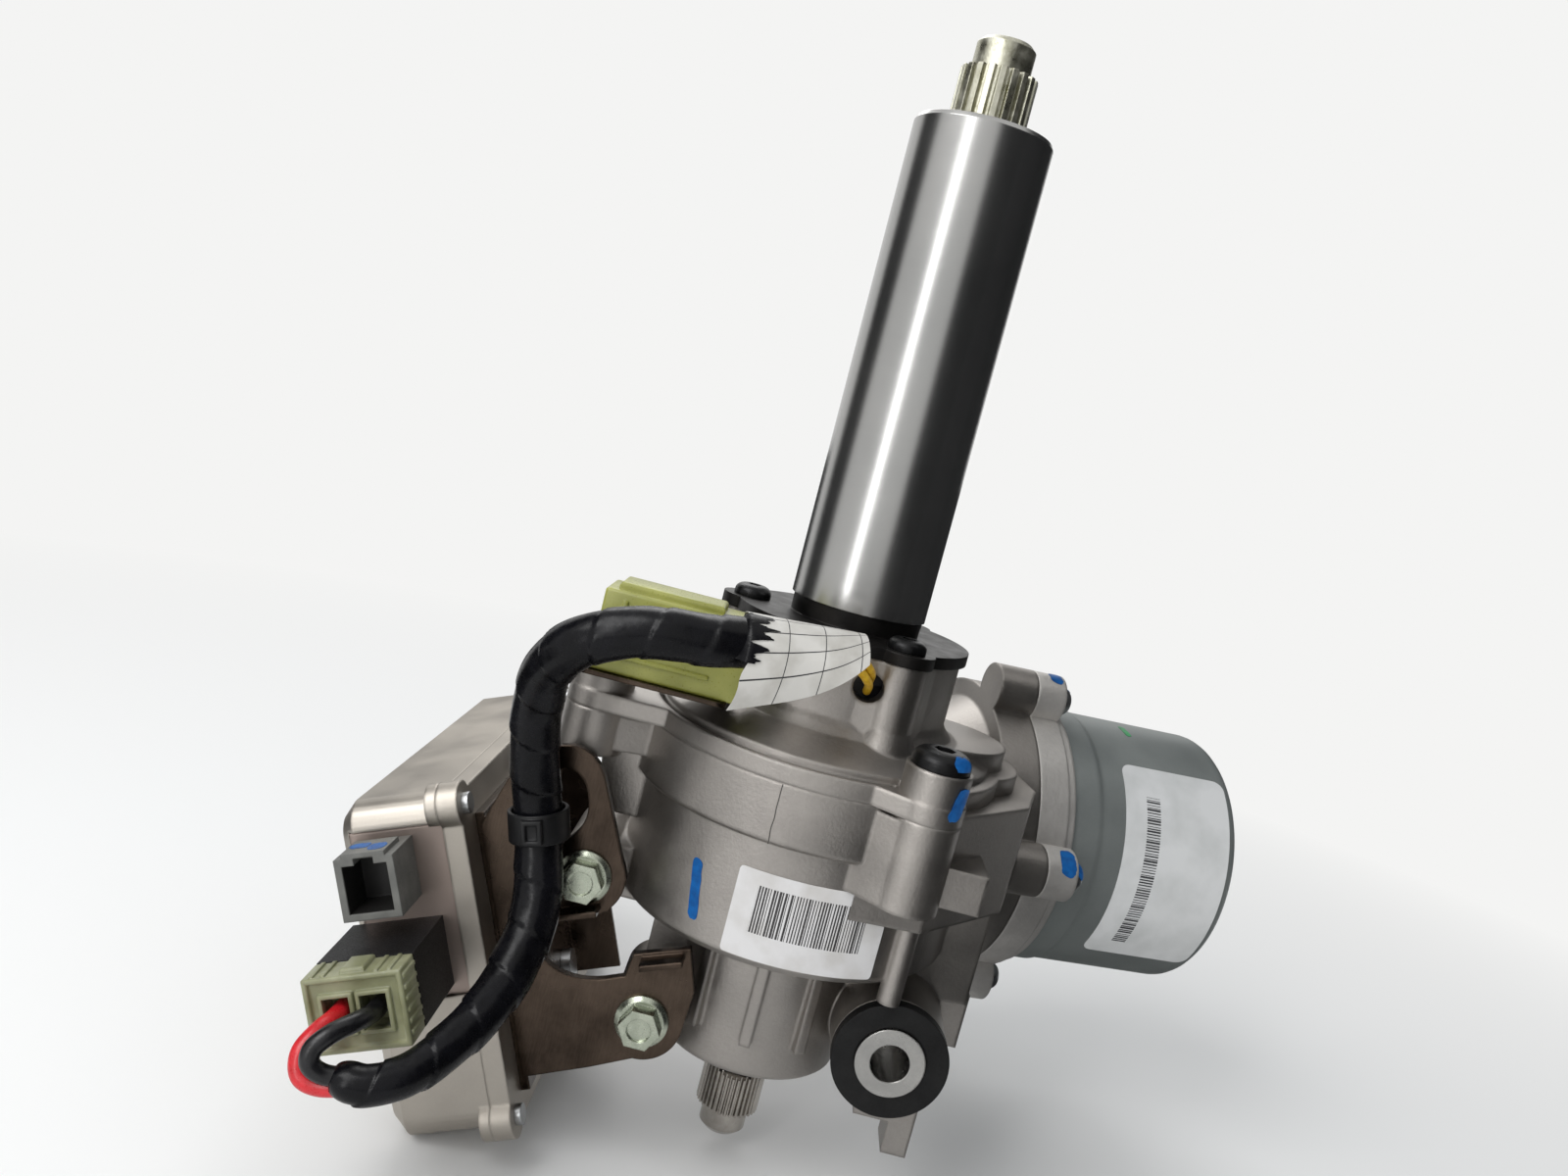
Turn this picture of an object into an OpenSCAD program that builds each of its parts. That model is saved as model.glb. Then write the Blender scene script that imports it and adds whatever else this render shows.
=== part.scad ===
// Power-assist reducer of an electrically assisted steering column.
// Z runs up the column, Y along the pivot bolt, and the worm axis is turned about Z.
// The origin is the centre of the jacket tube's lower end.

/* [Jacket tube] */
// Outside diameter of the ground jacket tube
tube_od = 38; // [36:0.5:42]
// Wall of the jacket tube
tube_wall = 2; // [1.5:0.1:2.5]
// Length of the jacket tube
tube_len = 131; // [100:1:180]
// Chamfer on the tube's upper rim
tube_rim = 1.2; // [0.6:0.1:1.4]
// Height of the bush inside the tube
bush_h = 12; // [8:1:16]
// Distance from the tube's rim down to the bush
bush_drop = 20; // [16:1:30]

/* [Flange plate] */
// Radius of the round flange plate
plate_r = 33; // [31:0.5:35]
// Thickness of the flange plate
plate_t = 3.2; // [2.5:0.1:4]
// Height of the collar between the plate and the tube
collar_h = 5; // [4:0.5:8]
// Length of the spigot inside the tube
spigot_h = 12; // [8:1:16]
// Radius of the plate's screw circle
plate_screw_ring = 29.5; // [28.5:0.5:30.5]
// Radius of the plate's screw lobes
plate_lobe_r = 8; // [7.5:0.5:9]
// Direction of the first plate screw
plate_screw_turn = -63; // [-80:1:-50]

/* [Sensor cover] */
// Outside radius of the sensor neck
neck_r = 31.5; // [30.5:0.5:32]
// Inside radius of the sensor neck
neck_bore_r = 26.5; // [26:0.5:27]
// Depth of the joint between cover and gear housing below the tube
seam_depth = 41; // [40:0.5:44]
// Radius of the cover rim and of the upper ring of the gear housing
rim_r = 50; // [49:0.5:52]
// Height of the cover rim
rim_h = 6.5; // [6:0.5:8]
// Depth of the cover's screw bosses below the tube
boss_depth = 28; // [27:0.5:29]
// Radius of the cover's screw bosses
boss_r = 8.8; // [7:0.1:9]
// Radius of the cover screw's head
cover_head_r = 7.6; // [5.5:0.1:7.8]
// Height of the cover screw's head
cover_head_h = 4.6; // [4:0.1:6]

/* [Gear housing] */
// Depth of the step between upper ring and label body
step_depth = 57; // [54:0.5:58]
// Radius of the label body
body_r = 47.5; // [47:0.5:48.5]
// Depth of the label body's lower edge
body_depth = 90; // [88:0.5:92]
// Radius of the wheel chamber
chamber_r = 43; // [42.5:0.5:44]
// Outside radius of the output neck
outlet_r = 27; // [26.5:0.5:29]
// Depth of the output neck's lower end
outlet_depth = 130; // [128:0.5:134]
// Outside radius of the worm tunnel
tunnel_r = 19; // [18:0.5:21]

/* [Worm drive] */
// Turn of the worm axis about the column
worm_turn = 15; // [5:1:20]
// Depth of the worm axis below the tube
worm_depth = 69; // [68:0.5:70]
// Teeth on the worm wheel
wheel_teeth = 41; // [39:1:43]
// Starts on the worm
worm_starts = 2; // [2:1:2]
// Module of the drive in the worm's axial plane
gear_module = 1.9; // [1.85:0.01:1.95]
// Pitch radius of the worm
worm_pitch_r = 9.05; // [8.8:0.05:9.5]
// Face width of the wheel
wheel_w = 14; // [12:0.5:16]
// Radius of the steel wheel hub
hub_r = 30; // [26:0.5:32]
// Length of the worm thread
worm_len = 32; // [28:1:36]
// Play between thread and teeth
backlash = 0.5; // [0.4:0.05:0.7]

/* [Motor] */
// Outside radius of the motor can
can_r = 41.7; // [40:0.1:43]
// Wall of the motor can
can_wall = 1.6; // [1.2:0.1:2]
// Length of the motor can
can_len = 62; // [58:1:70]
// Thickness of the cast motor flange
motor_flange_t = 13; // [11:0.5:16]
// Distance of the motor flange's seat along the worm axis
motor_seat = 75; // [73:0.5:80]
// Radius of the motor flange and of its seat
motor_flange_r = 46; // [45:0.5:48]
// Radius of the motor's screw circle
motor_screw_ring = 49.5; // [48:0.5:51]
// Number of motor screws
motor_screws_n = 5; // [4:1:6]

/* [Shafts] */
// Outside diameter of the input spline
spline_od = 20.9; // [19:0.1:22]
// Teeth on the input spline
spline_teeth = 20; // [16:1:24]
// Length of input spline above the tube
spline_out = 15; // [12:1:20]
// Length of the plain tip above the spline
tip_len = 8.2; // [6:0.2:10]
// Outside diameter of the output serration
serration_od = 18.3; // [17:0.1:20]
// Teeth on the output serration
serration_teeth = 36; // [30:1:40]
// Length of the output serration
serration_len = 21; // [19:1:26]
// Length of the plain nose below the serration
nose_len = 7.7; // [6:0.1:10]
// Radius of the torsion bar between its ends
torsion_r = 3.6; // [3:0.1:4]
// Free turn of the input shaft each way, in degrees
stop_turn = 5; // [4:0.5:6]

/* [Pivot] */
// Distance of the pivot bolt to the side of the column
pivot_x = 36.5; // [36:0.5:38]
// Depth of the pivot bolt below the tube
pivot_depth = 110; // [109:0.5:112]
// Radius of the pivot bolt hole
pivot_hole_r = 5.2; // [4.2:0.1:5.6]
// Outside radius of the steel collar
pivot_collar_r = 9.3; // [9:0.1:10]
// Outside radius of the rubber in its eye
pivot_rubber_r = 12.6; // [12:0.1:13]
// Radius of the rubber's front lip
pivot_lip_r = 15.6; // [15:0.1:16.5]
// Thickness of the rubber's front lip
pivot_lip_t = 3.7; // [3:0.1:5]
// Length of the cast eye
pivot_eye_len = 41; // [36:1:44]
// Wall of the cast eye
pivot_eye_wall = 3; // [2.5:0.25:4.5]

/* [Control unit] */
// Thickness of the control unit
ecu_t = 33; // [31:0.5:36]
// Height of the control unit
ecu_h = 93; // [91:1:97]
// Depth of the control unit
ecu_d = 138; // [130:1:144]
// Tilt of the control unit
ecu_tilt = 22; // [20:0.5:24]
// Thickness of the base plate
ecu_base_t = 5.5; // [4.5:0.5:6]
// Wall of the cover
ecu_wall = 2; // [1.5:0.25:2.5]
// Width of the power plug
plug_w = 20; // [18:0.5:21]
// Height of the power plug
plug_h = 15; // [13:0.5:16]
// Wall of the sockets
socket_wall = 1.8; // [1.5:0.1:2.2]

/* [Bracket] */
// Thickness of the stamped bracket
bracket_t = 2.5; // [2:0.25:3]
// Radius of the bracket's bolt pads
pad_r = 11; // [9:0.5:12]
// Radius of the bracket bolt's thread
bolt_r = 3; // [2.5:0.25:3.5]
// Radius of the bracket bolt's flange
bolt_flange_r = 7.3; // [6.5:0.1:8]
// Width across the flats of the bracket bolt's head
bolt_hex = 10; // [8:0.5:11]

/* [Lead] */
// Radius of the taped lead
sleeve_r = 6.2; // [5.5:0.1:6.6]
// Radius of the red and black leads
lead_r = 2.3; // [2:0.1:2.6]

/* [Clearances] */
// Radial gap of a fixed fit
seat_gap = 0.1; // [0.05:0.01:0.15]
// Radial gap of a running fit
run_gap = 0.06; // [0.03:0.01:0.1]
// Gap between fixed pieces that do not touch
free_gap = 0.3; // [0.2:0.05:0.4]
// Radial gap round a screw's thread
screw_gap = 0.2; // [0.1:0.05:0.3]

/* [Hidden] */
$fn = 64;
past = 1;

// Jacket tube and flange plate
tube_r = tube_od / 2;
tube_ir = tube_r - tube_wall;
plate_top = -collar_h;
plate_low = plate_top - plate_t;
collar_r = tube_r - 0.8;
column_bore_r = 14;
plate_screw_r = 2.5;
plate_head_r = 5.2;
plate_head_h = 3.2;
plate_screw_len = 14;
plate_screw_angles = [for (i = [0:2]) plate_screw_turn + i * 120];

// Sensor cover
seam = -seam_depth;
boss_top = -boss_depth;
rim_top = seam + rim_h;
dome_r = rim_r - 3.6;
rim_drop = 1.5;
gutter_d = 1.8;
dome_top = boss_top - 0.5;
neck_lobe_r = plate_lobe_r - 0.8;
web_t = 3;
cover_wall = 4;
upper_bearing_t = 9;
upper_bearing_or = 21;
spigot_wall = 4;
cover_screw_r = 3;
cover_screw_len = 24;
cover_screws_at = [[27, -46], [-62, -17], [-28, 47], [26, 47]];
front_boss = cover_screws_at[0];
left_ear = cover_screws_at[1];
ear_rib_points = [[-45, -49], [-59, -49], [-57.5, -58], [-51, -70], [-45, -70]];
ear_rib_front = -16;
ear_rib_back = -4;
neck_fillet = 3;
boss_flare = 16;
web_inset = 0.2;
ear_foot = -53.5;
web_stop = cover_screw_r + 1.2;
front_boss_low = -64.5;
column_at = [31.8, -36];
column_r = 3.1;
step_block_low = [27, -44, -63.5];
step_block_high = [46.7, -24, -53];
wing_at = [33, 8];
wing_r = 24;
wing_step = 5;
wing_top = dome_top - 3;
gutter_low = [-60, -60];
gutter_high = [18, -8];
side_points = [[10, -46], [34, -42.5], [59, -12], [64, 8], [58, 42], [10, 44]];
low_side_points = [[16, -16], [58, -8], [60, 4], [30, 22], [16, 22]];

// Drive
worm_z = -worm_depth;
wheel_pitch_r = wheel_teeth * gear_module / 2;
centre_dist = wheel_pitch_r + worm_pitch_r;
pressure = 20;
worm_tip_r = worm_pitch_r + gear_module;
worm_root_r = worm_pitch_r - 1.25 * gear_module;
worm_lead = worm_starts * PI * gear_module;
wheel_tip_r = wheel_pitch_r + 0.95 * gear_module;
wheel_root_r = wheel_pitch_r - 1.2 * gear_module;
wheel_twist = wheel_w * worm_lead / (2 * PI * worm_pitch_r) / wheel_pitch_r * 180 / PI;
worm_bore_r = worm_tip_r + 1.35;
worm_neck_r = 6;
worm_bearing_ir = 5;
worm_bearing_or = 13;
worm_bearing_t = 8;
worm_bearing_at = worm_len / 2 + 10;
worm_plug_t = 8;
worm_plug_r = worm_bearing_or + 1.5;
tunnel_left = worm_bearing_at + worm_bearing_t + worm_plug_t;
coupling_r = 11;
coupling_bore_r = 14;
coupling_at = worm_bearing_at + worm_bearing_t + 2.5;
coupling_t = 22;

// Output shaft levels, from the top down
stop_top = -22;
stop_h = 8;
stop_reach = 13.5;
stop_w = 7;
stop_gap = 1;
head_r = 15;
upper_bearing_z = seam - 1 - upper_bearing_t;
head_low = upper_bearing_z + upper_bearing_t;
bearing_ir = 12.5;
shaft_r = 13;
wheel_top = worm_z + wheel_w / 2;
wheel_low = worm_z - wheel_w / 2;
shoulder_r = 16;
lower_bearing_or = 23.5;
lower_bearing_t = 12;
lower_bearing_top = wheel_low - 8;
lower_bearing_low = lower_bearing_top - lower_bearing_t;
outlet_low = -outlet_depth;
tail_r = 11.5;
seal_t = 7;
seal_r = 20;
seal_low = outlet_low + 2;
serration_top = outlet_low - 1;
serration_low = serration_top - serration_len;
nose_low = serration_low - nose_len;
nose_r = 6.75;
tooth_depth = 0.85;
clamp_r = 4.2;
clamp_y = -10.5;
clamp_z = serration_top - 5.5;
pilot_r = 8;
pilot_low = -44;

// Input shaft and torsion bar
input_r = 9;
input_bore_r = 4.6;
torsion_end_r = input_bore_r - seat_gap;
torsion_end_h = 12;
spline_low = tube_len - 13;
spline_top = tube_len + spline_out;
tip_top = spline_top + tip_len;
tip_r = 8;
bush_top = tube_len - bush_drop;
pin_z = spline_low - 4;
pin_r = 1.5;
torsion_top = spline_low - 0.5;
torsion_low = wheel_low - 6;
ring_r = 19;
upper_ring_top = -13;
upper_ring_h = 7;
lower_ring_top = -24;
lower_ring_h = 14;
coil_ir = ring_r + 1.2;
coil_top = plate_low - 3;
coil_low = seam + web_t + free_gap;

// Motor along the worm axis
can_at = motor_seat + motor_flange_t;
can_end = can_at + can_len;
can_ir = can_r - can_wall;
can_collar_r = can_r + 0.8;
can_collar_len = 10;
can_round = 5;
motor_bearing_ir = 5;
motor_bearing_or = 13;
motor_bearing_t = 8;
front_bearing_at = motor_seat + 3;
rear_bearing_at = can_end - can_wall - motor_bearing_t + 3;
pocket_r = motor_bearing_or + can_wall;
pocket_out = 5;
stator_at = can_at + 9;
stator_len = 38;
stator_bore_r = 24;
stator_yoke = 6;
stator_slots = 12;
winding_out = 5;
magnet_r = stator_bore_r - 0.7;
magnet_t = 3;
magnet_count = 8;
motor_shaft_at = coupling_at + coupling_t / 2;
motor_screw_r = 2.5;
motor_head_r = 4.6;
motor_head_h = 4.5;
motor_screw_len = 20;
motor_ear_r = 8;
motor_ear_turn = 195;
motor_ear_t = 10;
ear_top = motor_seat + motor_ear_t;
motor_rim_r = motor_screw_ring - motor_head_r - free_gap;
seat_flange_t = 13;
spigot_fit_r = 22;
spigot_fit_t = 5;

// Pivot
pivot_z = -pivot_depth;
eye_front = -33;
eye_back = eye_front + pivot_eye_len;
eye_r = pivot_rubber_r + pivot_eye_wall;
lip_front = eye_front - pivot_lip_t;
collar_front = lip_front - 1;
collar_back = eye_back + 4;

// Control unit, with its own axes: x through the thickness, y the depth and z the height
ecu_x = -86.6;
ecu_z = -116.8;
ecu_front = -40;
ecu_left = -ecu_t / 2;
ecu_right = ecu_t / 2;
ecu_seam = ecu_right - ecu_base_t;
ecu_corner = 7;
ecu_round = 4;
ecu_ear_r = 6;
ecu_ear_in = 3.5;
ecu_ear_t = 3;
ecu_ears = [for (y = [ecu_front + ecu_ear_in, ecu_front + ecu_d - ecu_ear_in])
    for (h = [-ecu_h / 2 + ecu_ear_in, ecu_h / 2 - ecu_ear_in]) [y, h]];
board_t = 1.6;
board_at = -1;
board_in = 6;
post_r = 4;
post_in = 14;
posts = [for (y = [ecu_front + post_in, ecu_front + ecu_d - post_in])
    for (h = [-ecu_h / 2 + post_in, ecu_h / 2 - post_in]) [y, h]];
small_screw_r = 1.5;
small_head_r = 2.8;
small_head_h = 1.8;
notch_low = -7;
notch_high = 39.5;
notch_left = -14;
header_t = 2.5;
header_front = ecu_front + 1;
signal_left = -12.5;
signal_w = 15;
signal_low = 21;
signal_h = 16;
signal_out = 15;
power_left = -15;
power_low = -2;
power_out = 23;
plug_out = 10;
plug_in = 16;
lead_pitch = 9;
lead_seat = 5;

// Bracket, a stamped plate across the pivot bolt's direction
bracket_front = -30;
bracket_back = bracket_front + bracket_t;
bolt_1 = [-53.4, -84.4];
bolt_2 = [-29.3, -119.5];
bolts_at = [bolt_1, bolt_2];
bolt_head_h = 6;
bolt_flange_t = 1.6;
bolt_len = 18;
bolt_boss_r = 9;
flange_back = 40;
flange_high = 38;
flange_low = -40;
flange_screws_at = [for (y = [-15, 25]) for (h = [-28, 24]) [y, h]];
strap_points = [[-79, -64], [-69, -50.5], [-57, -51], [-50, -66]];
gap_points = [[-62, -103], [-59.5, -109.5], [-53, -112.5], [-45, -112.2], [-36.5, -108.5]];
arm_points = [[-17.5, -108], [-40, -136]];
window_points = [[-68, -57], [-60, -57], [-56, -66], [-57.5, -73], [-63, -78.5], [-68, -75]];
lip_1 = [[-58.5, -97.5], [-45, -92.2]];
lip_2 = [[-35.7, -102], [-21.3, -96.5]];
lip_out = 6;
back_leg = 17;
back_leg_in = 4;
bracket_screw_r = 2.5;
bracket_head_r = 4.5;
bracket_head_h = 3;

// Connector on its bracket
shelf_t = 1.2;
shelf_top = boss_top + shelf_t;
connector_left = -64;
connector_w = 42;
connector_front = -42;
connector_d = 16.5;
connector_h = 23;
connector_mouth = 9;
connector_wall = 2;
connector_step = 12;
connector_rib_t = 2;
connector_rib_pitch = 8;
shelf_edge = 3;

// Route of the taped lead, from the plug up to the sensor neck
sleeve_route = [[-92, -86, -122], [-84, -86, -122], [-75.5, -81, -119], [-67.5, -68, -112], [-63, -55, -103],
    [-62, -45, -90], [-67, -39, -70], [-71, -41, -55], [-73, -46, -39], [-71, -53, -26], [-63, -59, -16.5],
    [-50, -60, -11], [-36, -58, -9.5], [-22, -53, -8]];
clip_index = 6;
flag_wire_route = [[-21.4, -52.8, -8], [-10, -49, -7], [0, -44, -8], [5, -38, -12], [6, -29, -16]];
sensor_wire_r = 1.1;
flag_r = 9.4;
flag_t = 0.4;
flag_len = 27;
flag_tail = 13;
flag_at = [-24, -53.5, -10.7];
flag_turn = 14;

function catmull(a, b, c, d, t) = 0.5 * (2 * b + (c - a) * t + (2 * a - 5 * b + 4 * c - d) * t * t
    + (3 * b - a - 3 * c + d) * t * t * t);
function smooth(p, n) = [for (i = [0:len(p) - 2]) for (j = [0:n - 1])
    catmull(p[max(i - 1, 0)], p[i], p[i + 1], p[min(i + 2, len(p) - 1)], j / n), p[len(p) - 1]];
function unit(v) = v / norm(v);
function heading(p, i) = unit(p[min(i + 1, len(p) - 1)] - p[max(i - 1, 0)]);
function ring_points(c, t, r, n, ref) = let (a = unit(cross(t, ref)), b = cross(t, a))
    [for (k = [0:n - 1]) c + r * (cos(360 * k / n) * a + sin(360 * k / n) * b)];
function ecu_point(t, h) = [ecu_x + t * cos(ecu_tilt) - h * sin(ecu_tilt),
    ecu_z + t * sin(ecu_tilt) + h * cos(ecu_tilt)];
function involute(a) = tan(a) - a * PI / 180;
function flank_angle(r, thickness) = (thickness / (2 * wheel_pitch_r) + involute(pressure)
    - involute(acos(wheel_pitch_r * cos(pressure) / r))) * 180 / PI;
function thread_angle(r, thickness) = (thickness / 2 - (r - worm_pitch_r) * tan(pressure)) / worm_lead * 360;

// A round cord swept along its route
module cord(route, r, sides, ref) {
    n = len(route);
    points = [for (i = [0:n - 1]) each ring_points(route[i], heading(route, i), r, sides, ref)];
    walls = [for (i = [0:n - 2]) for (k = [0:sides - 1]) let (l = (k + 1) % sides)
        each [[i * sides + k, (i + 1) * sides + k, (i + 1) * sides + l],
            [i * sides + k, (i + 1) * sides + l, i * sides + l]]];
    start = [[for (k = [0:sides - 1]) k]];
    end = [[for (k = [0:sides - 1]) n * sides - 1 - k]];
    polyhedron(points, concat(start, walls, end), convexity = 6);
}

// A rectangle with round corners, from its low corner to its high corner
module round_rect(low, high, r) {
    translate([low[0] + r, low[1]]) square([high[0] - low[0] - 2 * r, high[1] - low[1]]);
    translate([low[0], low[1] + r]) square([high[0] - low[0], high[1] - low[1] - 2 * r]);
    for (x = [low[0] + r, high[0] - r])
        for (y = [low[1] + r, high[1] - r])
            translate([x, y]) circle(r);
}

// A box between two corners
module span(low, high) translate(low) cube(high - low);

// A ring between two heights
module ring(outer, inner, low, high) rotate_extrude()
    translate([inner, low]) square([outer - inner, high - low]);

// A rod along Y between two depths
module rod_y(x, z, r, front, back) translate([x, back, z]) rotate([90, 0, 0])
    cylinder(r = r, h = back - front);

// Children on the worm axis, with their Z along it
module on_worm() rotate([0, 0, worm_turn]) translate([0, centre_dist, worm_z]) rotate([0, 90, 0]) children();

// A plate of the stamped bracket, drawn in X and Z
module plate_y(front, back) translate([0, back, 0]) rotate([90, 0, 0])
    linear_extrude(back - front) children();

// Children in the control unit's own axes
module on_ecu() translate([ecu_x, 0, ecu_z]) rotate([0, -ecu_tilt, 0]) children();

// A slab of the control unit, with round corners
module ecu_slab(from, to, inset) translate([from, 0, 0]) rotate([90, 0, 90]) linear_extrude(to - from)
    round_rect([ecu_front + inset, -ecu_h / 2 + inset], [ecu_front + ecu_d - inset, ecu_h / 2 - inset],
        ecu_corner - inset / 2, $fn = 32);

// A rod through the control unit's thickness
module ecu_rod(at, r, from, to) translate([from, at[0], at[1]]) rotate([0, 90, 0])
    cylinder(r = r, h = to - from);

// A round screw head with a hexagon socket, its seat at zero
module socket_head(r, h) difference() {
    rotate_extrude() polygon(concat([[0, 0], [r, 0]],
        [for (a = [0:15:90]) [r * (0.5 + 0.5 * cos(a)), h * (0.3 + 0.7 * sin(a))]], [[0, h]]));
    translate([0, 0, h * 0.45]) cylinder(r = r * 0.38, h = h, $fn = 6);
}

// A disc with a lobe at each plate screw
module lobed(r, lobe_r) {
    circle(r);
    for (a = plate_screw_angles) rotate(a) translate([plate_screw_ring, 0]) circle(lobe_r);
}

// The same with straight sides between disc and lobes
module neck_outline(r, lobe_r) {
    lean = acos((r - lobe_r) / plate_screw_ring);
    way = [cos(lean), sin(lean)];
    lobed(r, lobe_r);
    for (a = plate_screw_angles) rotate(a) for (m = [0, 1]) mirror([0, m]) polygon([[0, 0],
        (r - past) * way, [plate_screw_ring, 0] + (lobe_r - past) * way, [plate_screw_ring, 0]]);
}

module column_tube() color("#8f9194") rotate_extrude($fn = 96)
    polygon([[tube_ir, 0], [tube_r, 0], [tube_r, tube_len - tube_rim], [tube_r - tube_rim / 2, tube_len],
        [tube_ir, tube_len]]);

module tube_flange() color("#232425") difference() {
    union() {
        translate([0, 0, plate_low]) linear_extrude(plate_t) lobed(plate_r, plate_lobe_r);
        translate([0, 0, plate_top - past]) cylinder(r = collar_r, h = collar_h + past);
        translate([0, 0, -past]) cylinder(r = tube_ir - seat_gap, h = spigot_h + past);
    }
    translate([0, 0, plate_low - past]) cylinder(r = column_bore_r, h = spigot_h - plate_low + 2 * past);
    for (a = plate_screw_angles) rotate(a) translate([plate_screw_ring, 0, plate_low - past])
        cylinder(r = plate_screw_r + screw_gap, h = plate_t + 2 * past);
}

module flange_screws() color("#1c1c1d") for (a = plate_screw_angles)
    rotate(a) translate([plate_screw_ring, 0, plate_top]) {
        socket_head(plate_head_r, plate_head_h);
        translate([0, 0, -plate_screw_len]) cylinder(r = plate_screw_r, h = plate_screw_len + past);
    }

module tube_bush() color("#d8d4c6") difference() {
    ring(tube_ir - seat_gap, input_r + run_gap, bush_top - bush_h, bush_top);
    for (a = [0:60:359]) rotate(a) translate([(tube_ir + input_r) / 2, 0, bush_top - bush_h - past])
        cylinder(r = 1.8, h = bush_h + 2 * past);
}

module sensor_cover() color("#b3afa9") difference() {
    union() {
        translate([0, 0, rim_top]) linear_extrude(plate_low - rim_top) neck_outline(neck_r, neck_lobe_r);
        for (a = plate_screw_angles) rotate(a) translate([plate_screw_ring, 0, rim_top + web_inset])
            cylinder(r1 = neck_lobe_r + neck_fillet, r2 = neck_lobe_r - web_inset,
                h = dome_top + neck_fillet - rim_top);
        rotate_extrude($fn = 96) polygon([[0, seam + past], [dome_r, seam + past], [dome_r, rim_top],
            [neck_r + neck_fillet, dome_top - neck_fillet * (dome_top - rim_top) / (dome_r - neck_r)],
            [neck_r + neck_fillet * 0.3, dome_top + neck_fillet * 0.3],
            [neck_r - web_inset, dome_top + neck_fillet], [0, dome_top + neck_fillet]]);
        translate([0, 0, seam]) linear_extrude(rim_h - rim_drop) cover_outline();
        translate([wing_at[0], wing_at[1], seam + past])
            cylinder(r = wing_r - wing_step, h = wing_top - seam);
        for (p = cover_screws_at) translate([p[0], p[1], seam + past])
            cylinder(r = boss_r - 0.3, h = boss_top - seam - past);
        translate([0, 0, upper_bearing_z])
            cylinder(r = upper_bearing_or + spigot_wall, h = upper_bearing_t + past + 1);
    }
    intersection() {
        ring(dome_r + 2, dome_r + 0.4, rim_top - rim_drop - gutter_d, rim_top - rim_drop + past);
        span([gutter_low[0], gutter_low[1], seam], [gutter_high[0], gutter_high[1], dome_top]);
    }
    translate([0, 0, seam + web_t]) cylinder(r = neck_bore_r, h = plate_low - seam);
    translate([0, 0, seam - past]) cylinder(r = head_r + 2, h = web_t + 2 * past);
    translate([0, 0, upper_bearing_z - past]) cylinder(r = upper_bearing_or + seat_gap,
        h = upper_bearing_t + past);
    rotate_extrude() polygon([[upper_bearing_or + spigot_wall, seam - past], [chamber_r, seam - past],
        [chamber_r, rim_top - cover_wall], [neck_r, dome_top - cover_wall],
        [neck_bore_r + cover_wall, dome_top - cover_wall - 2], [neck_bore_r + cover_wall, seam + web_t],
        [upper_bearing_or + spigot_wall, seam + web_t - 1]]);
    for (p = cover_screws_at) translate([p[0], p[1], seam - past])
        cylinder(r = cover_screw_r + screw_gap, h = boss_top - seam + 2 * past);
    for (a = plate_screw_angles) rotate(a) translate([plate_screw_ring, 0, plate_low - plate_screw_len])
        cylinder(r = plate_screw_r + screw_gap, h = plate_screw_len + past);
    wire_hole();
}

// The rim with its screw bosses, each tied to it by a web
module cover_outline() {
    circle(rim_r);
    translate(wing_at) circle(wing_r);
    for (p = cover_screws_at) {
        translate(p) circle(boss_r);
        rotate(atan2(p[1], p[0])) flared_web(rim_r - web_inset, norm(p), boss_r - web_inset);
    }
}

// A web with straight sides that run from a round wall to the sides of a boss
module flared_web(wall_r, out, r) {
    from = wall_r * [cos(boss_flare), sin(boss_flare)];
    turn = atan2(from[1], from[0] - out) - acos(r / norm(from - [out, 0]));
    to = [out, 0] + r * [cos(turn), sin(turn)];
    polygon([from, [from[0], -from[1]], [to[0], -to[1]], to]);
}

// The hole for the sensor wires in the front of the neck
module wire_hole() translate([6, -neck_bore_r + 4, -16]) rotate([90, 0, 0]) cylinder(r = 4, h = 14);

module cover_screws() color("#1d1d1e") for (i = [0:3])
    let (p = cover_screws_at[i], seat = i == 1 ? shelf_top : boss_top) translate([p[0], p[1], seat]) {
        socket_head(cover_head_r, cover_head_h);
        translate([0, 0, -cover_screw_len]) cylinder(r = cover_screw_r, h = cover_screw_len + past);
    }

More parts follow.
